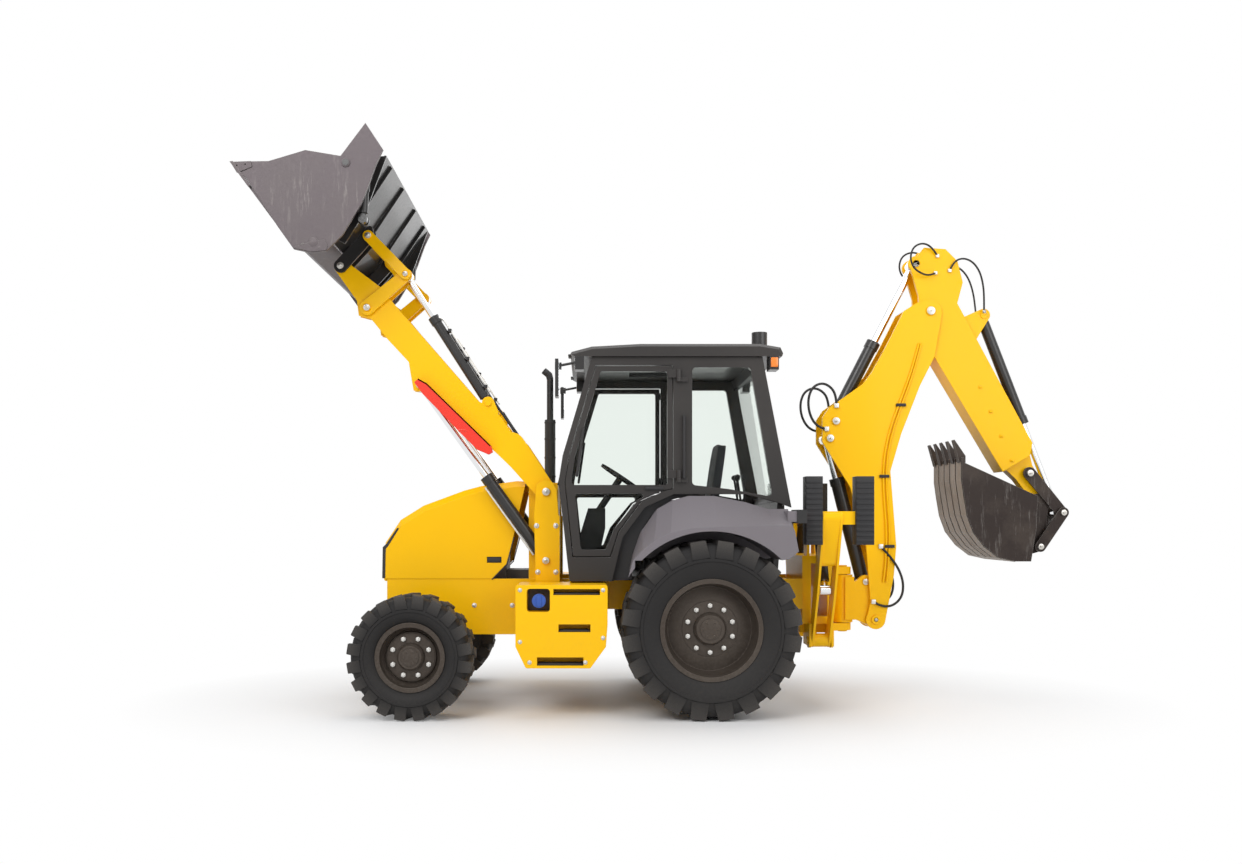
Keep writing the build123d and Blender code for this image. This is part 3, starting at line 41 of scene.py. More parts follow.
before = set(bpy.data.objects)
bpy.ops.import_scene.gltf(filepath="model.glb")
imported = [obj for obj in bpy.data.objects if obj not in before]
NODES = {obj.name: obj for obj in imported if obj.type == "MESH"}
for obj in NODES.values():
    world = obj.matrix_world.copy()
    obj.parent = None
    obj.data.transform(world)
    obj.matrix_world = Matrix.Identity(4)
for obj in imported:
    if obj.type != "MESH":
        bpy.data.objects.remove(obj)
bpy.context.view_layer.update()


def middle(node):
    """Middle of a CAD part's box."""
    low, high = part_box(node)
    return (low + high) / 2


AXLE_X = middle("rear_rim_left").x
MM = 0.001
SIDES = ((-1, "left"), (1, "right"))
MATERIALS = {}
GROUPS = {}


def at(x, y, z):
    """Point in metres; x is counted in millimetres rearward from the rear axle."""
    return Vector((AXLE_X + x * MM, y * MM, z * MM))


def linear(colour):
    """Linear colour with alpha from the 0 to 1 screen colour of a property."""
    return tuple(
        c / 12.92 if c <= 0.04045 else ((c + 0.055) / 1.055) ** 2.4 for c in colour[:3]
    ) + (1.0,)


# Sizes and colours


def colour_property(name, description, rgb):
    """Screen colour, its default given from 0 to 255."""
    return FloatVectorProperty(
        name=name, description=description, default=tuple(c / 255 for c in rgb),
        size=3, min=0.0, max=1.0, subtype="COLOR_GAMMA",
    )


def length_property(name, description, millimetres):
    """Length, its default given in millimetres."""
    return FloatProperty(
        name=name, description=description, default=millimetres * MM, min=0.0,
        subtype="DISTANCE", unit="LENGTH",
    )


class BackhoeFinish(bpy.types.PropertyGroup):
    """Colours of the machine."""

    paint: colour_property("Paint", "Body, arms and frame", (255, 196, 0))
    cab: colour_property("Cab frame", "Cab posts, doors and roof", (40, 37, 36))
    fender: colour_property("Fender", "Rear fenders", (116, 111, 116))
    bucket: colour_property("Loader bucket", "Sides of the loader bucket", (88, 80, 83))
    digger: colour_property("Digging bucket", "Digging bucket", (40, 30, 26))
    rim: colour_property("Rims", "Wheel rims", (58, 49, 42))
    rubber: colour_property("Rubber", "Tyres", (21, 20, 21))
    dust: colour_property("Dust", "Dry dust on tyres and low parts", (128, 121, 113))
    strut: colour_property("Safety strut", "Strut that locks the raised arms", (238, 52, 34))
    glass: colour_property("Glass", "Tint of the windows", (244, 248, 245))
    seat: colour_property("Seat", "Seat cover", (46, 46, 50))


class BackhoeSizes(bpy.types.PropertyGroup):
    """Sizes of the added fittings."""

    nut: length_property("Wheel nut", "Width of a wheel nut across its corners", 38)
    pipe: length_property("Pipe", "Diameter of a steel oil pipe", 18)
    seal: length_property("Seal", "Width of a window seal", 16)


# Shader groups


def feed(tree, sockets, values):
    """Gives sockets their values: a constant, or a link where the value is a socket."""
    for key, value in values.items():
        if isinstance(value, bpy.types.NodeSocket):
            tree.links.new(value, sockets[key])
        else:
            sockets[key].default_value = value


def add_node(tree, kind, values=None, **settings):
    """New node with its settings, then its socket values."""
    node = tree.nodes.new(kind)
    for key, value in settings.items():
        setattr(node, key, value)
    feed(tree, node.inputs, values or {})
    return node


def new_group(name, inputs, outputs):
    """Empty group, its input sockets with their defaults, and its output sockets."""
    group = bpy.data.node_groups.new(name, "ShaderNodeTree")
    for label, value in inputs.items():
        kind = "NodeSocketColor" if isinstance(value, tuple) else "NodeSocketFloat"
        socket = group.interface.new_socket(label, in_out="INPUT", socket_type=kind)
        socket.default_value = value
    for label, kind in outputs.items():
        group.interface.new_socket(label, in_out="OUTPUT", socket_type="NodeSocket" + kind)
    GROUPS[name] = group
    given = group.nodes.new("NodeGroupInput").outputs
    return group, given, group.nodes.new("NodeGroupOutput").inputs


def use_group(tree, name, values=None):
    """Output sockets of a group put into a tree."""
    return add_node(tree, "ShaderNodeGroup", values, node_tree=GROUPS[name]).outputs


def own_place(tree):
    """Coordinates of the object itself."""
    return add_node(tree, "ShaderNodeTexCoord").outputs["Object"]


def math_node(tree, operation, *values, clamp=False):
    """Result of a math node."""
    numbered = dict(enumerate(values))
    node = add_node(tree, "ShaderNodeMath", numbered, operation=operation, use_clamp=clamp)
    return node.outputs[0]


def mix_colours(tree, factor, a, b):
    """Colour between a and b; a mix node keeps its colours in sockets 6, 7 and 2."""
    return add_node(
        tree, "ShaderNodeMix", {0: factor, 6: a, 7: b}, data_type="RGBA"
    ).outputs[2]


def noise(tree, place, scale, detail=3.0, roughness=0.55):
    """Noise from 0 to 1."""
    values = {"Vector": place, "Scale": scale, "Detail": detail, "Roughness": roughness}
    return add_node(tree, "ShaderNodeTexNoise", values).outputs["Fac"]


def remap(tree, value, low, high, to_low=0.0, to_high=1.0):
    """Value moved from one range to another and held inside it."""
    values = {
        "Value": value, "From Min": low, "From Max": high, "To Min": to_low, "To Max": to_high,
    }
    return add_node(tree, "ShaderNodeMapRange", values).outputs["Result"]


def make_groups():
    """Weathering, soft edges, scratches and weave, shared by the materials."""
    group, given, out = new_group(
        "Weathering",
        {
            "Colour": (0.8, 0.8, 0.8, 1), "Dust": (0.4, 0.38, 0.35, 1), "Amount": 0.3,
            "Low Dust": 0.2, "Patch Scale": 1.6, "Grain Scale": 260.0, "Roughness": 0.4,
        },
        {"Colour": "Color", "Roughness": "Float", "Height": "Float"},
    )
    place = own_place(group)
    patches = remap(group, noise(group, place, given["Patch Scale"], 6.0, 0.62), 0.5, 0.78)
    speckle = remap(group, noise(group, place, 46.0, 4.0, 0.7), 0.42, 0.72)
    height = add_node(group, "ShaderNodeSeparateXYZ", {0: place}).outputs["Z"]
    low = math_node(
        group, "MULTIPLY", remap(group, height, 0.05, 1.25, 1.0, 0.0), given["Low Dust"]
    )
    low = math_node(group, "MULTIPLY", low, math_node(group, "ADD", speckle, 0.45))
    spread = math_node(group, "MULTIPLY", patches, given["Amount"])
    dirt = math_node(group, "ADD", spread, low, clamp=True)
    tone = remap(group, noise(group, place, 0.9, 2.0), 0.3, 0.7, 0.0, 0.07)
    toned = mix_colours(group, tone, given["Colour"], given["Dust"])
    rough = math_node(group, "MULTIPLY_ADD", dirt, 0.35, given["Roughness"])
    grainy = remap(group, speckle, 0.0, 1.0, -0.03, 0.05)
    feed(group, out, {
        "Colour": mix_colours(group, dirt, toned, given["Dust"]),
        "Roughness": math_node(group, "ADD", rough, grainy, clamp=True),
        "Height": noise(group, place, given["Grain Scale"], 2.0),
    })

    group, given, out = new_group(
        "Soft Edges", {"Radius": 0.004}, {"Normal": "Vector", "Edge": "Float"}
    )
    bevel = add_node(group, "ShaderNodeBevel", {"Radius": given["Radius"]}, samples=6).outputs[0]
    surface = add_node(group, "ShaderNodeNewGeometry").outputs["Normal"]
    dot = add_node(
        group, "ShaderNodeVectorMath", {0: bevel, 1: surface}, operation="DOT_PRODUCT"
    ).outputs["Value"]
    feed(group, out, {"Normal": bevel, "Edge": remap(group, dot, 0.99, 0.8)})

    group, given, out = new_group("Scratches", {"Amount": 0.5, "Scale": 3.0}, {"Mask": "Float"})
    place = own_place(group)
    stretched = add_node(
        group, "ShaderNodeMapping",
        {"Vector": place, "Rotation": (0.0, 0.7, 0.0), "Scale": (9.0, 9.0, 1.0)},
    ).outputs[0]
    lines = remap(group, noise(group, stretched, given["Scale"], 8.0, 0.75), 0.55, 0.66)
    rubbed = remap(group, noise(group, place, 2.2, 5.0, 0.6), 0.42, 0.66)
    both = math_node(group, "MULTIPLY", lines, rubbed)
    feed(group, out, {"Mask": math_node(group, "MULTIPLY", both, given["Amount"], clamp=True)})

    group, given, out = new_group("Weave", {"Scale": 900.0}, {"Mask": "Float", "Height": "Float"})
    place = own_place(group)
    waves = [
        add_node(
            group, "ShaderNodeTexWave", {"Vector": place, "Scale": given["Scale"]},
            bands_direction=direction,
        ).outputs["Fac"]
        for direction in "XY"
    ]
    crossed = math_node(group, "MULTIPLY", *waves)
    feed(group, out, {
        "Mask": math_node(group, "MULTIPLY", crossed, noise(group, place, 14.0)),
        "Height": crossed,
    })


def new_material(name, values):
    """Tree and shader inputs of a new finish, its constants on the shader's own sockets."""
    material = bpy.data.materials.new(name)
    material.use_nodes = True
    tree = material.node_tree
    MATERIALS[name] = material
    inputs = tree.nodes["Principled BSDF"].inputs
    feed(tree, inputs, values)
    return tree, inputs


def coated(
    name, colour, dust, amount=0.08, low_dust=0.1, roughness=0.35, metallic=0.0, coat=0.0,
    bump=0.02, grain=300.0, radius=0.005, edge=None, scratches=0.0,
    scratch_colour=(0.3, 0.28, 0.26, 1), attribute=None, specular=0.3,
):
    """A finish with dust, soft edges and, where asked, an edge colour (colour, amount) and
    scratches. The edge colour is painted highlight where it is a lighter shade of the finish
    and rubbed bare metal where it is steel."""
    tree, shader = new_material(name, {
        "Metallic": metallic, "Specular IOR Level": specular, "Coat Weight": coat,
        "Coat Roughness": 0.08,
    })
    weather = use_group(tree, "Weathering", {
        "Colour": colour, "Dust": dust, "Amount": amount, "Low Dust": low_dust,
        "Grain Scale": grain, "Roughness": roughness,
    })
    edges = use_group(tree, "Soft Edges", {"Radius": radius})
    result = weather["Colour"]
    if scratches:
        marks = use_group(tree, "Scratches", {"Amount": scratches})
        result = mix_colours(tree, marks["Mask"], result, scratch_colour)
    # edge colour: painted highlight on the painted finishes, rubbed bare steel on steel edges
    if edge:
        edge_highlight_and_wear_colour, edge_highlight_and_wear_amount = edge
        tint_mask = math_node(tree, "MULTIPLY", edges["Edge"], edge_highlight_and_wear_amount, clamp=True)
        result = mix_colours(tree, tint_mask, result, edge_highlight_and_wear_colour)
    if attribute:
        mask = add_node(tree, "ShaderNodeAttribute", attribute_name=attribute).outputs["Fac"]
        grit = remap(tree, weather["Height"], 0.25, 0.75, 0.35, 1.0)
        result = mix_colours(tree, math_node(tree, "MULTIPLY", mask, grit), result, dust)
    grain_bump = add_node(tree, "ShaderNodeBump", {
        "Strength": bump, "Distance": 0.002, "Height": weather["Height"],
        "Normal": edges["Normal"],
    })
    feed(tree, shader, {
        "Base Color": result, "Roughness": weather["Roughness"],
        "Normal": grain_bump.outputs["Normal"],
    })


def make_materials(finish):
    """Every finish of the machine."""
    dust = linear(finish.dust)
    rubber_dust = linear((0.33, 0.315, 0.30))
    steel = (0.36, 0.34, 0.32, 1)
    # the lighter yellow edge colour is painted highlight
    coated("paint", linear(finish.paint), (0.50, 0.31, 0.03, 1), 0.05, 0.16, 0.36, coat=0.08,
           specular=0.16, bump=0.03, edge=((1.0, 0.66, 0.06, 1), 0.2))
    # the lighter grey edge colour is painted highlight
    coated("cab", linear(finish.cab), dust, 0.05, 0.04, 0.42, coat=0.15, bump=0.08, grain=420.0,
           edge=((0.12, 0.11, 0.11, 1), 0.5))
    # the lighter grey edge colour is painted highlight
    coated("fender", linear(finish.fender), dust, 0.06, 0.05, 0.48, bump=0.12, grain=520.0,
           edge=((0.27, 0.26, 0.27, 1), 0.4))
    coated("bucket", linear(finish.bucket), (0.20, 0.18, 0.17, 1), 0.35, 0.0, 0.46, metallic=0.25,
           bump=0.1, edge=(steel, 0.8), scratches=0.55)
    # the grey edge colour is painted highlight
    coated("black", (0.012, 0.012, 0.013, 1), dust, 0.05, 0.05, 0.34, coat=0.3, bump=0.04,
           edge=((0.06, 0.06, 0.06, 1), 0.5))
    coated("digger", linear(finish.digger), (0.13, 0.105, 0.085, 1), 0.55, 0.0, 0.5, metallic=0.2,
           bump=0.16, grain=180.0, edge=(steel, 0.7), scratches=0.6)
    coated("worn_steel", (0.25, 0.21, 0.175, 1), (0.15, 0.12, 0.095, 1), 0.6, 0.0, 0.5,
           metallic=0.55, bump=0.25, grain=150.0, edge=((0.5, 0.47, 0.44, 1), 0.8),
           scratches=0.8, scratch_colour=(0.42, 0.39, 0.36, 1))
    # the lighter brown edge colour is painted highlight
    coated("rim", linear(finish.rim), dust, 0.12, 0.22, 0.42, metallic=0.35, bump=0.06,
           edge=((0.2, 0.17, 0.14, 1), 0.5))
    coated("rubber", linear(finish.rubber), rubber_dust, 0.06, 0.16, 0.66, bump=0.3,
           grain=210.0, radius=0.004, attribute="tint_mask")
    coated("hose_rubber", (0.014, 0.014, 0.015, 1), dust, 0.03, 0.0, 0.5, bump=0.12, grain=700.0)
    coated("trim", (0.022, 0.022, 0.024, 1), dust, 0.05, 0.04, 0.55, bump=0.15, grain=600.0)
    coated("iron", (0.07, 0.065, 0.06, 1), dust, 0.12, 0.1, 0.5, metallic=0.5, bump=0.15,
           edge=(steel, 0.5))
    # the lighter steel edge colour is painted highlight
    coated("pin_steel", (0.62, 0.6, 0.55, 1), (0.3, 0.27, 0.22, 1), 0.25, 0.08, 0.34,
           metallic=0.85, bump=0.05, edge=((0.8, 0.78, 0.74, 1), 0.5))
    coated("chrome", (0.82, 0.83, 0.84, 1), (0.45, 0.42, 0.38, 1), 0.08, 0.0, 0.09, metallic=1.0,
           bump=0.01)
    coated("zinc", (0.72, 0.71, 0.68, 1), (0.35, 0.32, 0.28, 1), 0.15, 0.05, 0.36, metallic=0.6,
           bump=0.05)
    # the pale red edge colour is painted highlight
    coated("strut", linear(finish.strut), (0.3, 0.1, 0.07, 1), 0.08, 0.0, 0.38, coat=0.2,
           bump=0.04, edge=((0.9, 0.35, 0.25, 1), 0.3))
    coated("blue_cap", (0.02, 0.09, 0.42, 1), dust, 0.08, 0.05, 0.4, bump=0.1)
    coated("amber", (0.95, 0.24, 0.02, 1), dust, 0.03, 0.0, 0.15, coat=0.5, bump=0.3,
           grain=160.0)
    coated("red_lens", (0.5, 0.012, 0.01, 1), dust, 0.03, 0.0, 0.15, coat=0.5, bump=0.3,
           grain=160.0)
    coated("clear_lens", (0.75, 0.77, 0.78, 1), dust, 0.03, 0.0, 0.12, coat=0.6, bump=0.4,
           grain=140.0)
    coated("mirror", (0.72, 0.75, 0.77, 1), dust, 0.02, 0.0, 0.03, metallic=1.0, bump=0.0)

    tree, shader = new_material("glass", {
        "Base Color": linear(finish.glass), "Roughness": 0.02, "IOR": 1.12,
        "Transmission Weight": 1.0,
    })
    haze = remap(tree, noise(tree, own_place(tree), 3.0), 0.4, 0.8, 0.01, 0.06)
    feed(tree, shader, {"Roughness": haze})

    tree, shader = new_material("seat", {"Sheen Weight": 0.3, "Roughness": 0.85})
    weave = use_group(tree, "Weave")
    seat = linear(finish.seat)
    lighter = tuple(min(1.0, c * 2.6) for c in seat[:3]) + (1.0,)
    bump = add_node(
        tree, "ShaderNodeBump", {"Strength": 0.4, "Distance": 0.001, "Height": weave["Height"]}
    )
    feed(tree, shader, {
        "Base Color": mix_colours(tree, weave["Mask"], seat, lighter),
        "Normal": bump.outputs["Normal"],
    })


# finish, names or starts of names of the parts that have it; the longest start counts
NODE_FINISH = {
    "paint": "chassis_frame side_boxes hood loader_arms tilt_levers tilt_links "
             "backhoe_frame swing_casting boom dipper stabilizer",
    "black": "exhaust_stack lamps_mirrors lift_barrels tilt_barrels bucket_back clam_rams "
             "boom_ram crowd_ram hoe_ram stabilizer_ram",
    "chrome": "lift_rods tilt_rods clam_rods boom_rod crowd_rod hoe_rod stabilizer_rod",
    "iron": "engine_block axles knuckle",
    "cab": "cab_frame cab_roof door_",
    "glass": "cab_glass door_glass",
    "fender": "rear_fenders",
    "trim": "controls steering_wheel seat_base",
    "seat": "seat_cushions",
    "bucket": "bucket_clam",
    "digger": "idler_links hoe_links hoe_bucket",
    "rubber": "rear_tyre front_tyre",
    "rim": "rear_rim front_rim",
}


# Shaping

SHARP_ANGLE = 0.5


def round_edges(bm, edges, width, segments=2):
    """Rounds edges off by a width."""
    bmesh.ops.bevel(
        bm, geom=list(edges), offset=width, offset_type="OFFSET", affect="EDGES",
        segments=segments, profile=0.5, material=-1, clamp_overlap=True,
    )


def to_mesh(name, bm):
    """Mesh from a bmesh, which is freed."""
    mesh = bpy.data.meshes.new(name)
    bm.to_mesh(mesh)
    bm.free()
    return mesh


def join(bm, part):
    """Adds a finished shape to a piece's mesh."""
    mesh = to_mesh("part", part)
    bm.from_mesh(mesh)
    bpy.data.meshes.remove(mesh)


def box(bm, low, high, ease=0.003):
    """Rounded box between two corners."""
    part = bmesh.new()
    bmesh.ops.create_cube(part, size=1.0)
    bmesh.ops.scale(part, verts=part.verts, vec=high - low)
    if ease:
        round_edges(part, part.edges, ease)
    bmesh.ops.translate(part, verts=part.verts, vec=(low + high) / 2)
    join(bm, part)


def side_box(bm, x0, x1, z0, z1, y, half, ease=0.003):
    """Rounded box with a side-view outline and its middle at y, in millimetres."""
    box(bm, at(x0, y - half, z0), at(x1, y + half, z1), ease)


def rod(bm, start, end, radius, sides=24, ease=0.0):
    """Round bar between two points."""
    part = bmesh.new()
    along = end - start
    bmesh.ops.create_cone(
        part, cap_ends=True, cap_tris=False, segments=sides, radius1=radius, radius2=radius,
        depth=along.length,
    )
    if ease:
        rims = [e for e in part.edges if abs(e.verts[0].co.z - e.verts[1].co.z) < 1e-6]
        round_edges(part, rims, ease)
    turn = along.to_track_quat("Z", "Y").to_matrix()
    bmesh.ops.rotate(part, verts=part.verts, matrix=turn)
    bmesh.ops.translate(part, verts=part.verts, vec=(start + end) / 2)
    join(bm, part)


def cross_rod(bm, x, z, y0, y1, radius, sides=24, ease=0.0):
    """Round bar across the machine, from y0 to y1 in millimetres."""
    rod(bm, at(x, y0, z), at(x, y1, z), radius, sides, ease)


def extrude(part, points):
    """Extrudes an outline and returns the vertices of its new face, not yet moved."""
    face = part.faces.new([part.verts.new(point) for point in points])
    grown = bmesh.ops.extrude_face_region(part, geom=[face])
    return [v for v in grown["geom"] if isinstance(v, bmesh.types.BMVert)]


def flat(bm, points, y0, y1, ease=0.0):
    """Plate with a side-view outline, between y0 and y1, all in millimetres."""
    part = bmesh.new()
    moved = extrude(part, [at(x, y0, z) for x, z in points])
    bmesh.ops.translate(part, verts=moved, vec=(0, (y1 - y0) * MM, 0))
    bmesh.ops.recalc_face_normals(part, faces=part.faces)
    if ease:
        sharp = [e for e in part.edges if e.calc_face_angle(0) > SHARP_ANGLE]
        round_edges(part, sharp, ease, 1)
    join(bm, part)


def hexagon_bolt(bm, place, s, width, height):
    """Washer, hexagon and stud end that point to side s."""
    axis = Vector((0, s, 0))
    rod(bm, place, place + axis * height * 0.2, width * 0.72, 20)
    rod(bm, place, place + axis * height, width * 0.5, 6, width * 0.05)
    rod(bm, place, place + axis * height * 1.4, width * 0.24, 12)


def add_piece(name, data, body, material):
    """Puts a mesh or curve in the scene, with its finish, slot and body."""
    data.materials.append(MATERIALS[material])
    piece = bpy.data.objects.new(name, data)
    bpy.context.scene.collection.objects.link(piece)
    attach(piece, body)
    return piece


def finish_piece(name, bm, body, material, smooth=0.6):
    """Piece from a bmesh; edges that turn by more than smooth radians stay sharp."""
    bmesh.ops.remove_doubles(bm, verts=bm.verts, dist=1e-6)
    mesh = to_mesh(name, bm)
    mesh.polygons.foreach_set("use_smooth", [True] * len(mesh.polygons))
    mesh.set_sharp_from_angle(angle=smooth)
    return add_piece(name, mesh, body, material)


def line_piece(name, points, diameter, body, material):
    """A pipe or hose: one smooth open spline through its route."""
    curve = bpy.data.curves.new(name, "CURVE")
    curve.dimensions = "3D"
    curve.bevel_depth = diameter / 2
    curve.bevel_resolution = 4
    curve.resolution_u = 10
    curve.use_fill_caps = True
    spline = curve.splines.new("NURBS")
    spline.points.add(len(points) - 1)
    for point, place in zip(spline.points, points):
        point.co = (*at(*place), 1.0)
    spline.order_u = 3
    spline.use_endpoint_u = True
    return add_piece(name, curve, body, material)


# Wheels

LUGS = 20
LUG_HEIGHT = 0.026
RIM_LIP = 0.024
# one lug: share of its facet, share of the tyre's half width
LUG_OUTLINE = [
    (-1.13, 0.010), (-0.09, 0.010), (0.1, 0.3), (0.72, 0.78), (0.72, 0.985), (-0.58, 0.985),
    (-0.58, 0.7), (-0.75, 0.42),
]


def tyre_mesh(axle, radius, half, bead):
    """Carcass spun from its section, with lugs on both shoulders."""
    tread = radius - LUG_HEIGHT
    shoulder = bead * 0.4 + tread * 0.6
    side = [
        (half - 0.050, bead), (half - 0.049, bead + 0.018), (half - 0.040, bead + 0.034),
        (half - 0.028, (bead * 2 + shoulder) / 3), (half - 0.010, (bead + shoulder * 2) / 3),
        (half - 0.008, shoulder - 0.022), (half - 0.002, shoulder - 0.018),
        (half - 0.002, shoulder), (half - 0.010, shoulder + 0.006),
        (half - 0.016, (shoulder + tread) / 2), (half - 0.030, tread - 0.018),
        (half - 0.052, tread - 0.002), (half - 0.120, tread + 0.002),
    ]
    section = [(-y, r) for y, r in side] + [(y, r) for y, r in reversed(side)]
    bm = bmesh.new()
    ring = [bm.verts.new(axle + Vector((0, y, r))) for y, r in section]
    edges = [bm.edges.new((a, b)) for a, b in zip(ring, ring[1:] + ring[:1])]
    bmesh.ops.spin(
        bm, geom=ring + edges, cent=axle, axis=(0, 1, 0), steps=80, angle=math.tau,
        use_merge=True, use_duplicate=False,
    )
    facet = tread * math.tan(math.pi / LUGS)
    foot = shoulder + 0.004
    lug = bmesh.new()
    top = extrude(lug, [(x * facet, y * half, foot) for x, y in LUG_OUTLINE])
    centre = Vector((-0.2 * facet, half * 0.55, 0))
    for v in top:
        x = centre.x + (v.co.x - centre.x) * 0.87
        y = centre.y + (v.co.y - centre.y) * (0.93 if v.co.y > centre.y else 0.97)
        v.co = Vector((x, y, math.sqrt((radius - 0.002) ** 2 - x * x)))
    bmesh.ops.recalc_face_normals(lug, faces=lug.faces)
    crown = [e for e in lug.edges if all(v.co.z > tread - 0.01 for v in e.verts)]
    round_edges(lug, crown, 0.007, 2)
    mesh = to_mesh("lug", lug)
    lean = Matrix.Rotation(math.asin(0.98 * facet / radius), 4, "Y")
    for end in (1, -1):
        for k in range(LUGS):
            turn = Matrix.Rotation((k + (0.5 if end > 0 else 0)) * math.tau / LUGS, 4, "Y")
            old = set(bm.verts)
            bm.from_mesh(mesh)
            added = [v for v in bm.verts if v not in old]
            if end < 0:
                faces = [f for f in bm.faces if f.verts[0] not in old]
                bmesh.ops.scale(bm, verts=added, vec=(1, -1, 1))
                bmesh.ops.reverse_faces(bm, faces=faces)
            bmesh.ops.transform(
                bm, verts=added, matrix=Matrix.Translation(axle) @ lean @ turn
            )
    bpy.data.meshes.remove(mesh)
    bmesh.ops.recalc_face_normals(bm, faces=bm.faces)
    tint_mask = bm.verts.layers.float.new("tint_mask")
    for v in bm.verts:
        reach = math.hypot(v.co.x - axle.x, v.co.z - axle.z)
        v[tint_mask] = min(1.0, max(0.0, (reach - tread) / 0.020)) * 0.8
    return bm


class BACKHOE_OT_finishes(bpy.types.Operator):
    """Make every finish and give each CAD part its own."""

    bl_idname = "backhoe.finishes"
    bl_label = "Finishes"

    def execute(self, context):
        make_groups()
        make_materials(context.scene.backhoe_finish)
        finishes = {start: m for m, starts in NODE_FINISH.items() for start in starts.split()}
        for name, node in NODES.items():
            start = max((s for s in finishes if name.startswith(s)), key=len)
            material = MATERIALS[finishes[start]]
            if not node.material_slots:
                node.data.materials.append(material)
            for place in node.material_slots:
                place.material = material
        return {"FINISHED"}


class BACKHOE_OT_tyres(bpy.types.Operator):
    """Four tyres with lugs on both shoulders."""

    bl_idname = "backhoe.tyres"
    bl_label = "Tyres"

    def execute(self, context):
        for end in ("rear", "front"):
            for _, name in SIDES:
                low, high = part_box(f"{end}_tyre_{name}")
                rim_low, rim_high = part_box(f"{end}_rim_{name}")
                bead = (rim_high.z - rim_low.z) / 2 - RIM_LIP
                _, half, radius = (high - low) / 2
                bm = tyre_mesh((low + high) / 2, radius, half, bead)
                piece = finish_piece(
                    f"{end}_tyre_lugged_{name}", bm, f"{end}_wheel_{name}", "rubber", 0.7
                )
                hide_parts(f"{end}_tyre_{name}")
        return {"FINISHED"}


def on_circle(centre, out, radius, count, shift):
    """Points spread evenly round a wheel's axis, out metres from a centre on it."""
    for k in range(count):
        angle = math.tau * (k + shift) / count
        yield centre + Vector((radius * math.cos(angle), out, radius * math.sin(angle)))


def disc(bm, place, out, radius, sides, ease=0.0):
    """Round disc on a wheel, out metres thick."""
    rod(bm, place, place + Vector((0, out, 0)), radius, sides, ease)


# columns: end, nuts, their circle, face of the dish, hub cap radius, hub face
HUBS = [("rear", 10, 0.173, 0.072, 0.125, 0.130), ("front", 8, 0.142, 0.067, 0.105, 0.125)]
NUT_HEIGHT = 0.026
HUB_PLATE = 0.008


class BACKHOE_OT_wheel_fittings(bpy.types.Operator):
    """Wheel nuts and hub plates."""

    bl_idname = "backhoe.wheel_fittings"
    bl_label = "Wheel fittings"

    def execute(self, context):
        width = context.scene.backhoe_sizes.nut
        for end, count, circle, face, cap, hub in HUBS:
            for s, name in SIDES:
                axle = middle(f"{end}_tyre_{name}")
                body = f"{end}_wheel_{name}"
                nuts = bmesh.new()
                for place in on_circle(axle, s * face, circle, count, 0.5):
                    hexagon_bolt(nuts, place, s, width, NUT_HEIGHT)
                finish_piece(f"{end}_nuts_{name}", nuts, body, "zinc")
                plate = bmesh.new()
                start = axle + Vector((0, s * (hub - 0.001), 0))
                disc(plate, start, s * HUB_PLATE, cap * 0.62, 48, 0.003)
                for spot in on_circle(start, s * HUB_PLATE, cap * 0.45, 6, 0):
                    disc(plate, spot, s * 0.005, 0.007, 6)
                ring = axle + Vector((0, s * face, 0))
                disc(plate, ring, s * 0.006, circle + 0.034, 64, 0.003)
                finish_piece(f"{end}_hub_plate_{name}", plate, body, "rim")
        return {"FINISHED"}


# Cab


def outline_seal(bm, points, y, width, depth):
    """Flat rubber frame round a window, its inner side inset."""
    part = bmesh.new()
    face = part.faces.new([part.verts.new(at(x, y, z)) for x, z in points])
    bmesh.ops.inset_region(part, faces=[face], thickness=width, use_even_offset=True)
    bmesh.ops.delete(part, geom=[face], context="FACES")
    bmesh.ops.recalc_face_normals(part, faces=part.faces)
    bmesh.ops.solidify(part, geom=part.faces[:], thickness=depth)
    bmesh.ops.recalc_face_normals(part, faces=part.faces)
    join(bm, part)


LOWER_LIGHT = [
    (-1000, 1665), (-955, 1240), (-765, 1240), (-705, 1395), (-520, 1618), (-420, 1665),
]
UPPER_LIGHT = [
    (-805, 2590), (-1000, 1945), (-1028, 1760), (-1020, 1730), (-300, 1730), (-300, 2590),
]
QUARTER = [(-112, 2620), (-112, 1730), (160, 1700), (500, 1640), (330, 2620)]
CAB_HALF = 750
# dark sheet in the gap between cab side and fender, painted shade where the gap lies in shadow
GAP_SHADE = [
    (-735, 1000), (-655, 1330), (-485, 1560), (-262, 1668), (-149, 1650), (-266, 1617),
    (-380, 1552), (-495, 1385), (-555, 1200), (-592, 1010),
]


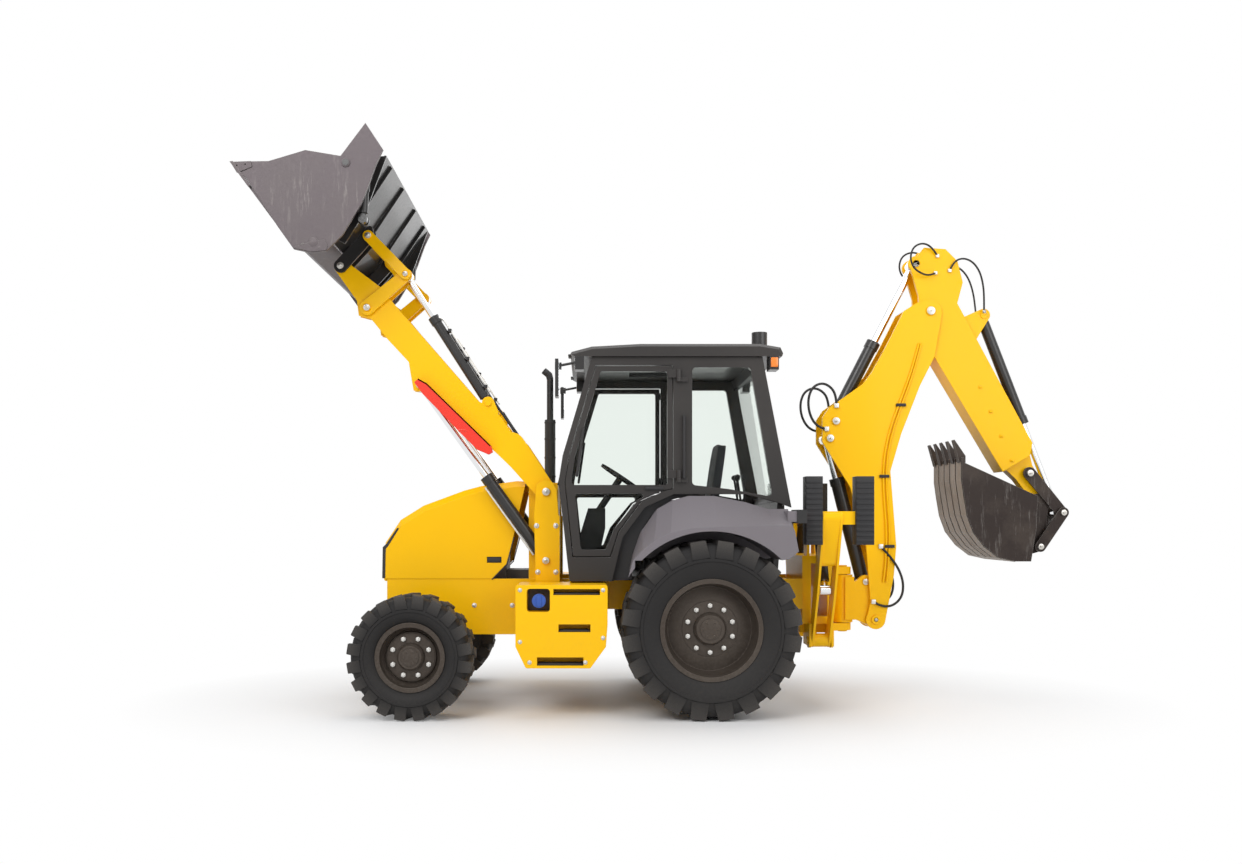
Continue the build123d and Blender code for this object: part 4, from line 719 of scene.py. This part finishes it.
class BACKHOE_OT_cab_fittings(bpy.types.Operator):
    """Window seals, door handles, grab rails, wiper and mirror glass."""

    bl_idname = "backhoe.cab_fittings"
    bl_label = "Cab fittings"

    def execute(self, context):
        seal = context.scene.backhoe_sizes.seal
        fixed = bmesh.new()
        for s, name in SIDES:
            door = bmesh.new()
            for light in (LOWER_LIGHT, UPPER_LIGHT):
                outline_seal(door, light, s * (CAB_HALF - 1), seal, 0.004)
            handle = s * (CAB_HALF + 14)
            side_box(door, -470, -330, 1692, 1716, handle, 8, 0.004)
            for x in (-460, -340):
                cross_rod(door, x, 1704, s * (CAB_HALF - 2), handle, 0.009)
            rail = s * (CAB_HALF + 18)
            rod(door, at(-985, rail, 1800), at(-935, rail, 2150), 0.011)
            for x, z in ((-985, 1800), (-935, 2150)):
                cross_rod(door, x, z, s * (CAB_HALF - 3), rail, 0.010)
            finish_piece(f"door_trim_{name}", door, f"door_{name}", "trim")
            outline_seal(fixed, QUARTER, s * (CAB_HALF + 1), seal, 0.004)
            rail = s * (CAB_HALF + 30)
            rod(fixed, at(-175, rail, 1780), at(-175, rail, 2250), 0.012)
            for z in (1780, 2015, 2250):
                cross_rod(fixed, -175, z, s * (CAB_HALF - 2), rail, 0.011)
            # dark sheet that paints the shade in the gap between cab side and fender
            flat(fixed, GAP_SHADE, s * 694, s * 700)
            side_box(fixed, -1052, -900, 2712, 2726, s * 640, 70, 0.004)
        for y in (-330, 330):
            rod(fixed, at(-1050, y, 1260), at(-1125, y - 60, 1800), 0.007)
            rod(fixed, at(-1138, y - 60, 1740), at(-1010, y - 60, 2230), 0.006)
        side_box(fixed, -560, -200, 2640, 2680, 0, 20, 0.006)
        finish_piece("cab_seals_and_gap_shade", fixed, "machine", "trim")
        glass = bmesh.new()
        for s in (-1, 1):
            side_box(glass, -1119, -1116, 2392, 2648, s * 860, 62, 0.0)
        finish_piece("mirror_glass", glass, "machine", "mirror")
        return {"FINISHED"}


CROWN = 0.012
CHANNELS = 3
CHANNEL_DEPTH = 0.010


def cushion(name, low, high, lean):
    """Crowned closed pad with sewn channels, seams round its sides."""
    bm = bmesh.new()
    size = high - low
    bmesh.ops.create_cube(bm, size=1.0)
    bmesh.ops.scale(bm, verts=bm.verts, vec=size)
    bmesh.ops.subdivide_edges(bm, edges=bm.edges, cuts=15, use_grid_fill=True)
    for v in bm.verts:
        u, w, h = (2 * v.co[i] / size[i] for i in range(3))
        edge = (1 - abs(u) ** 3) * (1 - abs(w) ** 3)
        if h > 0.4:
            v.co.z += CROWN * edge
        wave = abs(math.sin(w * math.pi * CHANNELS / 2))
        channel = max(0.0, 1 - wave * 5) if abs(w) < 0.8 else 0
        v.co.z -= CHANNEL_DEPTH * channel * max(0.0, h) * edge
        pull = 0.02 * (1 - abs(h)) * 0.6
        v.co.x *= 1 - pull - 0.03 * abs(w) ** 4
        v.co.y *= 1 - pull - 0.03 * abs(u) ** 4
        v.co.z *= 1 - 0.08 * (abs(u) ** 6 + abs(w) ** 6)
    bmesh.ops.rotate(bm, verts=bm.verts, matrix=Matrix.Rotation(lean, 3, "Y"))
    bmesh.ops.translate(bm, verts=bm.verts, vec=(low + high) / 2)
    piece = finish_piece(name, bm, "seat", "seat", 3.0)
    smooth = piece.modifiers.new("Smooth", "SUBSURF")
    smooth.levels = 1
    smooth.render_levels = 1
    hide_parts("seat_cushions")


class BACKHOE_OT_seat(bpy.types.Operator):
    """Seat cushion and backrest."""

    bl_idname = "backhoe.seat"
    bl_label = "Seat"

    def execute(self, context):
        cushion("seat_pad", at(-345, -228, 1452), at(75, 228, 1536), 0.0)
        # the backrest is made lying down and stood up about its middle
        x, z, reach, half = 145, 1794, 285, 36
        cushion(
            "seat_backrest", at(x - reach, -218, z - half), at(x + reach, 218, z + half),
            math.radians(-82),
        )
        return {"FINISHED"}


# Body

HOOD_HALF = 384
GRILLE_EDGE = [
    (-2528, 1004), (-2524, 1250), (-2496, 1276), (-2410, 1402), (-2394, 1398), (-2478, 1262),
    (-2500, 1236), (-2504, 1004),
]
HOOD_LINE = [
    (-1488, 1330), (-1547, 1112), (-1664, 996), (-1656, 992), (-1540, 1106), (-1480, 1328),
]
# columns: front, back and height of each step
STEPS = [(-1152, -816, 916), (-1114, -886, 644), (-1272, -937, 398)]
# columns: piece, slot, finish, boxes (x0, x1, z0, z1, y, half width, ease)
LENSES = [
    ("work_lamp_glass", "glass", "clear_lens",
     [(-1003, -999, 2612, 2688, 710, 56, 0.0015), (539, 543, 2612, 2688, 710, 56, 0.0015)]),
    ("tail_lamp_glass", "trim", "red_lens", [(699, 703, 1452, 1528, 960, 60, 0.001)]),
    ("turn_lamp_glass", "trim", "amber",
     [(699, 703, 1452, 1528, 858, 36, 0.001), (478, 532, 2618, 2690, 786, 8, 0.004)]),
]
# columns: y, width and height of the bolts in metres, their places (x, z)
BODY_BOLTS = [
    (540, 0.028, 0.014,
     [(-1290, 820), (-1150, 820), (-1290, 1060), (-1150, 1060), (-1300, 1420), (-1150, 1420)]),
    (1010, 0.022, 0.009,
     [(-1400, 950), (-1400, 570), (-790, 950), (-790, 600), (-1330, 420), (-920, 420)]),
    (380, 0.026, 0.012, [(x, 790) for x in (-2380, -2200, -2000, -1800, -1500)]),
]


class BACKHOE_OT_body_fittings(bpy.types.Operator):
    """Hood trim, step grips, vents, exhaust rings and elbow, fuel cap, lenses and bolts."""

    bl_idname = "backhoe.body_fittings"
    bl_label = "Body fittings"

    def execute(self, context):
        dark = bmesh.new()
        for s in (-1, 1):
            flat(dark, GRILLE_EDGE, s * HOOD_HALF, s * (HOOD_HALF + 2))
            flat(dark, HOOD_LINE, s * HOOD_HALF, s * (HOOD_HALF + 4))
            side_box(dark, -1696, -1589, 1130, 1170, s * HOOD_HALF, 4)
        finish_piece("hood_trim", dark, "hood", "trim")

        black = bmesh.new()
        for s in (-1, 1):
            for x0, x1, z in STEPS:
                side_box(black, x0, x1, z, z + 8, s * 930, 70, 0.002)
                for k in range(9):
                    y = s * (880 + 13 * k)
                    side_box(black, x0 + 8, x1 - 8, z + 7, z + 12, y, 2, 0.0)
            side_box(black, -1346, -1184, 794, 956, s * 925, 4, 0.004)
        x, y = -1225, 315
        rod(black, at(x, y, 2670), at(x - 12, y, 2715), 0.029, 32)
        rod(black, at(x - 6, y, 2702), at(x - 55, y, 2742), 0.029, 32, 0.004)
        for z in (1830, 1990, 2150, 2290):
            rod(black, at(x, y, z), at(x, y, z + 14), 0.049, 40, 0.002)
        finish_piece("steps_and_vents", black, "machine", "trim")

        cap = bmesh.new()
        cross_rod(cap, -1262, 870, -965, -998, 0.052, 40, 0.006)
        side_box(cap, -1282, -1242, 830, 910, -998, 6, 0.005)
        finish_piece("fuel_cap", cap, "machine", "blue_cap")

        for name, slot, material, boxes in LENSES:
            lens = bmesh.new()
            for s in (-1, 1):
                for x0, x1, z0, z1, y, half, ease in boxes:
                    side_box(lens, x0, x1, z0, z1, s * y, half, ease)
            finish_piece(name, lens, "machine", material)

        bolts = bmesh.new()
        for s in (-1, 1):
            for y, width, height, places in BODY_BOLTS:
                for x, z in places:
                    hexagon_bolt(bolts, at(x, s * y, z), s, width, height)
        finish_piece("body_bolts", bolts, "machine", "zinc")
        return {"FINISHED"}


# Loader

ARM_Y = 455
ARM_PIVOT, LIFT_BASE, LIFT_EYE = (-1226, 1684), (-1228, 1150), (-2212, 2520)
BUCKET_PIN, LINK_PIN = (-2827, 3443), (-2608, 3672)
LEVER_TOP, LEVER_PIVOT, TILT_BASE = (-2319, 3374), (-2620, 3117), (-1681, 2380)
STRUT = [
    (-2246, 2530), (-2216, 2560), (-2150, 2524), (-1880, 2262), (-1652, 2040), (-1640, 1990),
    (-1672, 1972), (-1760, 2010), (-1900, 2150), (-2180, 2440),
]
STRUT_BACK = [
    (-2216, 2560), (-2150, 2524), (-1652, 2040), (-1660, 2034), (-2154, 2514), (-2220, 2550),
]


def pin_heads(name, body, table):
    """Pin ends with a cap and bolt on both sides: (x, z), y and radius in millimetres."""
    bm = bmesh.new()
    for (x, z), y, radius in table:
        for s in (-1, 1):
            cross_rod(bm, x, z, s * y, s * (y + 8), radius * MM, 40, 0.003)
            cross_rod(bm, x, z, s * (y + 8), s * (y + 11), radius * 0.55 * MM, 32)
            hexagon_bolt(bm, at(x, s * (y + 10), z), s, 0.016, 0.008)
    finish_piece(name, bm, body, "pin_steel")


def along_line(a, b, distance, off):
    """Side-view point at a distance from a towards b, moved off to the right."""
    d = Vector((b[0] - a[0], b[1] - a[1])).normalized()
    return a[0] + d.x * distance + d.y * off, a[1] + d.y * distance - d.x * off


class BACKHOE_OT_loader_fittings(bpy.types.Operator):
    """Pin heads, the safety strut and the oil pipes of the loader."""

    bl_idname = "backhoe.loader_fittings"
    bl_label = "Loader fittings"

    def execute(self, context):
        sizes = context.scene.backhoe_sizes
        pin_heads("tower_pins", "machine", [(ARM_PIVOT, 554, 30), (LIFT_BASE, 554, 27)])
        pin_heads("arm_pins", "loader_arms", [(LIFT_EYE, 509, 30), (LEVER_PIVOT, 533, 26)])
        pin_heads("lever_pins", "tilt_levers", [(LEVER_TOP, 551, 20)])
        pin_heads("bucket_pins", "bucket_back", [(BUCKET_PIN, 528, 26)])
        pin_heads("link_pins", "tilt_links", [(LINK_PIN, 553, 24)])

        strut = bmesh.new()
        for y0, y1 in ((-528, -522), (-568, -562)):
            flat(strut, STRUT, y0, y1)
        flat(strut, STRUT_BACK, -568, -522)
        side_box(strut, -1905, -1845, 2150, 2165, -545, 25, 0.002)
        finish_piece("safety_strut", strut, "loader_arms", "strut")

        for s, name in SIDES:
            for k, shift in enumerate((-16, 16)):
                start = [along_line(TILT_BASE, LEVER_TOP, d, 58) for d in (70, 400, 700, 752)]
                end = along_line(TILT_BASE, LEVER_TOP, 775, 34)
                route = [(x, s * ARM_Y + shift, z) for x, z in start + [end]]
                line_piece(
                    f"tilt_pipe_{name}_{k}", route, sizes.pipe * 0.8, "tilt_barrels",
                    "zinc",
                )
                bend = [
                    (-1640, 2395 + 8 * k), (-1575, 2300), (-1490, 2180), (-1420, 2060),
                    (-1340, 1960 - 30 * k), (-1300, 1880),
                ]
                route = [(x, s * (ARM_Y + (30 if k else -30)), z) for x, z in bend]
                line_piece(
                    f"arm_pipe_{name}_{k}", route, sizes.pipe, "loader_arms",
                    "hose_rubber",
                )
            clamps = bmesh.new()
            for d in (120, 380, 640):
                x, z = along_line(TILT_BASE, LEVER_TOP, d, 52)
                side_box(clamps, x - 14, x + 14, z - 14, z + 14, s * ARM_Y, 30)
            finish_piece(f"tilt_clamps_{name}", clamps, "tilt_barrels", "trim")
            rods = bmesh.new()
            x0, z0 = along_line(LIFT_BASE, LIFT_EYE, 90, -56)
            x1, z1 = along_line(LIFT_BASE, LIFT_EYE, 740, -56)
            for y in (s * ARM_Y - 14, s * ARM_Y + 14):
                rod(rods, at(x0, y, z0), at(x1, y, z1), 0.008)
            finish_piece(f"lift_pipes_{name}", rods, "lift_barrels", "zinc")
        return {"FINISHED"}


BUCKET_AT = (-2720, 3400)
BUCKET_SIDE = 1172


def from_bucket(*points):
    """Side-view points that are counted from the raised bucket's own corner."""
    return [(BUCKET_AT[0] + x, BUCKET_AT[1] + z) for x, z in points]


class BACKHOE_OT_bucket_fittings(bpy.types.Operator):
    """Side plates, hinge caps, back ribs and bolts of the loader bucket."""

    bl_idname = "backhoe.bucket_fittings"
    bl_label = "Loader bucket fittings"

    def execute(self, context):
        corner = from_bucket((-748, 634), (-600, 640), (-592, 600), (-700, 556))
        heel = from_bucket(
            (-168, -10), (-63, 0), (-50, 30), (-70, 80), (-180, 60), (-280, 30), (-290, 16)
        )
        (eye_x, eye_z), (hinge_x, hinge_z) = from_bucket((-150, 60), (79, 632))
        clam = bmesh.new()
        for s in (-1, 1):
            side, plate = s * BUCKET_SIDE, s * (BUCKET_SIDE + 7)
            flat(clam, corner, side, plate, 0.001)
            flat(clam, heel, side, s * (BUCKET_SIDE + 6), 0.001)
            cross_rod(clam, eye_x, eye_z, side, plate, 0.036, 40, 0.003)
            for x, z in from_bucket((-700, 610), (-640, 618), (-230, 40), (-110, 20)):
                hexagon_bolt(clam, at(x, side, z), s, 0.022, 0.005)
        finish_piece("clam_side_plates", clam, "bucket_clam", "bucket")

        back = bmesh.new()
        rib = from_bucket((20, 243), (150, 436), (340, 716), (352, 700), (176, 436), (60, 262))
        for y in (-820, -300, 300, 820):
            flat(back, rib, y - 8, y + 8, 0.001)
        finish_piece("bucket_ribs", back, "bucket_back", "black")
        caps = bmesh.new()
        for s in (-1, 1):
            low, high = s * (BUCKET_SIDE - 1), s * (BUCKET_SIDE + 7)
            cross_rod(caps, hinge_x, hinge_z, low, high, 0.034, 40, 0.003)
        finish_piece("clam_hinge_caps", caps, "bucket_back", "bucket")
        return {"FINISHED"}


# Backhoe

BOOM_FOOT, BOOM_RAM_BASE, BOOM_RAM_EYE = (1443, 653), (1368, 960), (1070, 2130)
CROWD_BASE, CROWD_EYE, DIPPER_PIN = (1118, 2270), (1780, 3560), (1889, 3167)
IDLER_PIN, HOE_RAM_EYE, HOE_LINK_PIN = (2710, 1847), (2974, 1525), (2787, 1248)
WEAR_STRIP = 4
HOE_BACK = [
    (2068, 1930), (2068, 1784), (2086, 1655), (2112, 1500), (2163, 1363), (2249, 1252),
    (2361, 1166), (2498, 1135), (2618, 1135),
]

# name, body, diameter in mm, length in m, route (x, y, z) of the left one in mm
HOSES = [
    ("boom_hose", "boom", 20, 0.738,
     [(1120, -143, 2395), (1118, -145, 2450), (1090, -150, 2530), (1010, -160, 2580),
      (925, -165, 2550), (885, -165, 2460), (890, -160, 2350), (930, -150, 2260),
      (990, -144, 2212), (1040, -143, 2205)]),
    ("dipper_head_hose", "dipper", 15, 0.644,
     [(1950, -113, 3620), (1905, -130, 3682), (1825, -150, 3718), (1742, -160, 3686),
      (1712, -162, 3600), (1736, -160, 3515), (1806, -156, 3465), (1880, -140, 3452),
      (1935, -113, 3480)]),
    ("dipper_ram_hose", "dipper", 15, 0.652,
     [(2050, -113, 3500), (2080, -120, 3570), (2150, -130, 3600), (2230, -132, 3570),
      (2290, -130, 3490), (2322, -120, 3380), (2334, -106, 3270), (2338, -92, 3168)]),
    ("boom_foot_hose", "boom", 20, 0.731,
     [(1480, -143, 1250), (1545, -143, 1180), (1620, -143, 1080), (1665, -143, 960),
      (1655, -143, 840), (1580, -143, 765), (1480, -143, 760), (1420, -143, 800)]),
]
# outer face of the plates that hold the hose ends
PLATE_FACE = {"boom": 131, "dipper": 101}


class BACKHOE_OT_hoses(bpy.types.Operator):
    """Oil hoses of the digging arm."""

    bl_idname = "backhoe.hoses"
    bl_label = "Hoses"

    def execute(self, context):
        for name, body, diameter, length, route in HOSES:
            for s, side in SIDES:
                path = [(x, -s * y, z) for x, y, z in route]
                fittings = bmesh.new()
                for x, y, z in (path[0], path[-1]):
                    reach = 0.9 * diameter
                    face = s * PLATE_FACE[body]
                    cover = y + s * 0.55 * diameter
                    low = at(x - reach, min(face, cover), z - reach)
                    high = at(x + reach, max(face, cover), z + reach)
                    box(fittings, low, high, 0.003)
                finish_piece(f"{name}_fittings_{side}", fittings, body, "zinc")
                piece = line_piece(
                    f"{name}_{side}", path, diameter * MM, body, "hose_rubber"
                )
        return {"FINISHED"}


class BACKHOE_OT_arm_fittings(bpy.types.Operator):
    """Pin heads, pipes and wear strips of the digging arm."""

    bl_idname = "backhoe.arm_fittings"
    bl_label = "Digging arm fittings"

    def execute(self, context):
        sizes = context.scene.backhoe_sizes
        pin_heads("boom_foot_pins", "swing_casting",
                  [(BOOM_FOOT, 131, 32), (BOOM_RAM_BASE, 104, 26)])
        pin_heads("boom_pins", "boom",
                  [(BOOM_RAM_EYE, 142, 30), (CROWD_BASE, 142, 30), (DIPPER_PIN, 142, 34)])
        eye = bmesh.new()
        for s in (-1, 1):
            cross_rod(eye, *CROWD_EYE, s * 99, s * 104, 0.028, 40)
        finish_piece("dipper_pins", eye, "dipper", "pin_steel")
        tabs = bmesh.new()
        for s in (-1, 1):
            for k in range(4):
                x, z = 2303 + 86 * k, 2550 - 200 * k
                side_box(tabs, x - 13, x + 13, z - 11, z + 11, s * 106, 7, 0.004)
                cross_rod(tabs, x, z, s * 112, s * 116, 0.007, 16)
        finish_piece("dipper_tabs", tabs, "dipper", "paint")
        pin_heads("idler_pins", "idler_links", [(IDLER_PIN, 112, 27), (HOE_RAM_EYE, 133, 24)])
        pin_heads("bucket_link_pins", "hoe_links", [(HOE_LINK_PIN, 133, 24)])
        for s, name in SIDES:
            y = s * 141
            for k in (0, 1):
                low, high = 26 * k, 20 * k
                route = [
                    (1500 + low, y, 960), (1540 + low, y, 1250), (1490 + low, y, 1820),
                    (1530 + low, y, 2130), (1640 + low, y, 2440), (1740 + high, y, 2700),
                    (1790 + high, y, 2900),
                ]
                line_piece(
                    f"boom_pipe_{name}_{k}", route, sizes.pipe * 0.8, "boom", "paint"
                )
            clamps = bmesh.new()
            for x, z in ((1548, 1250), (1505, 1820), (1640, 2400)):
                side_box(clamps, x - 34, x + 44, z - 12, z + 12, s * 140, 12)
            finish_piece(f"boom_clamps_{name}", clamps, "boom", "trim")
            ribs = bmesh.new()
            for x0, x1 in ((735, 850), (1110, 1235)):
                for k in range(12):
                    z = 1300 + 40 * k
                    side_box(ribs, x0 - 4, x1 + 4, z, z + 22, s * 848, 9)
                side_box(ribs, x0 - 6, x1 + 6, 1278, 1792, s * 792, 60, 0.004)
            finish_piece(f"pad_rubber_{name}", ribs, f"stabilizer_{name}", "trim")

        strips = bmesh.new()
        for y in (-278, -139, 0, 139, 278):
            for a, b in zip(HOE_BACK[:-2], HOE_BACK[1:-1]):
                a, b = Vector(a), Vector(b)
                out = Vector((b.y - a.y, a.x - b.x)).normalized() * WEAR_STRIP
                flat(strips, [a, b, b + out, a + out], y - 56, y + 56)
        finish_piece("hoe_wear_strips", strips, "hoe_bucket", "worn_steel")
        return {"FINISHED"}


# Stage

WHITE = (1, 1, 1, 1)
# columns: name, place, aim, size, power in watts
LAMPS = [
    ("key", (-4.5, -7.5, 7.5), (-0.2, 0, 1.4), 5.0, 470),
    ("fill", (5.5, -6.5, 4.5), (0.5, 0, 1.6), 5.0, 210),
    ("top", (0.3, 0.5, 9.0), (0.3, 0, 1.0), 7.0, 280),
    ("back", (1.0, 8.0, 6.0), (0, 0, 1.6), 6.0, 150),
]
CAMERA_LENS = {
    "sensor_width": 36.0, "lens": 31.36, "shift_x": 0.0266, "shift_y": 0.0709, "clip_end": 200.0,
}
CAMERA_PLACE = (-0.6745, -8.94, 1.464)


def shows_background(tree):
    """1 for rays that show the background: camera, mirror and glass rays."""
    path = add_node(tree, "ShaderNodeLightPath").outputs
    first = math_node(tree, "MAXIMUM", path["Is Camera Ray"], path["Is Glossy Ray"])
    return math_node(tree, "MAXIMUM", first, path["Is Transmission Ray"])


def mix_shaders(tree, factor, a, b):
    """Shader between a and b."""
    return add_node(tree, "ShaderNodeMixShader", {0: factor, 1: a, 2: b}).outputs[0]


def make_floor(scene):
    """Pale floor that fades into the white background far from the machine."""
    bm = bmesh.new()
    bmesh.ops.create_grid(bm, x_segments=2, y_segments=2, size=60.0)
    mesh = to_mesh("floor", bm)
    floor = bpy.data.objects.new("floor", mesh)
    scene.collection.objects.link(floor)
    tree, _ = new_material("floor", {
        "Base Color": (0.86, 0.86, 0.865, 1), "Roughness": 0.55, "Specular IOR Level": 0.25,
    })
    stretched = add_node(tree, "ShaderNodeMapping", {
        "Vector": own_place(tree), "Location": (0.05, 0.0, 0.0), "Scale": (0.27, 0.42, 1.0),
    }).outputs[0]
    length = add_node(tree, "ShaderNodeVectorMath", {0: stretched}, operation="LENGTH")
    far = remap(tree, length.outputs["Value"], 0.55, 1.15)
    white = add_node(tree, "ShaderNodeEmission", {"Color": WHITE, "Strength": 1.0}).outputs[0]
    seen = math_node(tree, "MULTIPLY", far, shows_background(tree))
    near = tree.nodes["Principled BSDF"].outputs[0]
    feed(tree, tree.nodes["Material Output"].inputs, {
        "Surface": mix_shaders(tree, seen, near, white),
    })
    mesh.materials.append(MATERIALS["floor"])


class BACKHOE_OT_stage(bpy.types.Operator):
    """Pale floor, soft studio light and the camera."""

    bl_idname = "backhoe.stage"
    bl_label = "Stage"

    def execute(self, context):
        scene = context.scene
        make_floor(scene)

        world = bpy.data.worlds.new("studio")
        scene.world = world
        world.use_nodes = True
        tree = world.node_tree
        tree.nodes.clear()
        soft, white = (
            add_node(tree, "ShaderNodeBackground", {"Color": WHITE, "Strength": power}).outputs[0]
            for power in (0.46, 1.0)
        )
        light = mix_shaders(tree, shows_background(tree), soft, white)
        add_node(tree, "ShaderNodeOutputWorld", {"Surface": light})

        for name, place, aim, size, power in LAMPS:
            light = bpy.data.lights.new(name, "AREA")
            light.energy = power
            light.size = size
            lamp = bpy.data.objects.new(name, light)
            lamp.location = place
            lamp.rotation_euler = (Vector(aim) - Vector(place)).to_track_quat("-Z", "Y").to_euler()
            lamp.visible_camera = False
            lamp.visible_transmission = False
            scene.collection.objects.link(lamp)

        camera_data = bpy.data.cameras.new("camera")
        for key, value in CAMERA_LENS.items():
            setattr(camera_data, key, value)
        camera = bpy.data.objects.new("camera", camera_data)
        camera.location = CAMERA_PLACE
        camera.rotation_euler = (math.radians(90), 0, 0)
        scene.collection.objects.link(camera)
        scene.camera = camera
        scene.view_settings.view_transform = "Standard"
        return {"FINISHED"}


OPERATORS = [
    BACKHOE_OT_stage, BACKHOE_OT_finishes, BACKHOE_OT_hoses, BACKHOE_OT_tyres,
    BACKHOE_OT_wheel_fittings, BACKHOE_OT_cab_fittings, BACKHOE_OT_seat,
    BACKHOE_OT_body_fittings, BACKHOE_OT_loader_fittings, BACKHOE_OT_bucket_fittings,
    BACKHOE_OT_arm_fittings,
]


class BACKHOE_PT_panel(bpy.types.Panel):
    """Lists the machine's pieces, sizes and colours."""

    bl_label = "Backhoe loader"
    bl_idname = "BACKHOE_PT_panel"
    bl_space_type = "VIEW_3D"
    bl_region_type = "UI"
    bl_category = "Backhoe"

    def draw(self, context):
        for group in (context.scene.backhoe_finish, context.scene.backhoe_sizes):
            for name in group.__annotations__:
                self.layout.prop(group, name)
        for operator in OPERATORS:
            self.layout.operator(operator.bl_idname)


CLASSES = [BackhoeFinish, BackhoeSizes, *OPERATORS, BACKHOE_PT_panel]


def register():
    for cls in CLASSES:
        bpy.utils.register_class(cls)
    bpy.types.Scene.backhoe_finish = PointerProperty(type=BackhoeFinish)
    bpy.types.Scene.backhoe_sizes = PointerProperty(type=BackhoeSizes)


def unregister():
    del bpy.types.Scene.backhoe_sizes
    del bpy.types.Scene.backhoe_finish
    for cls in reversed(CLASSES):
        bpy.utils.unregister_class(cls)


def main():
    register()
    for operator in OPERATORS:
        group, name = operator.bl_idname.split(".")
        getattr(getattr(bpy.ops, group), name)()


if __name__ == "__main__":
    main()
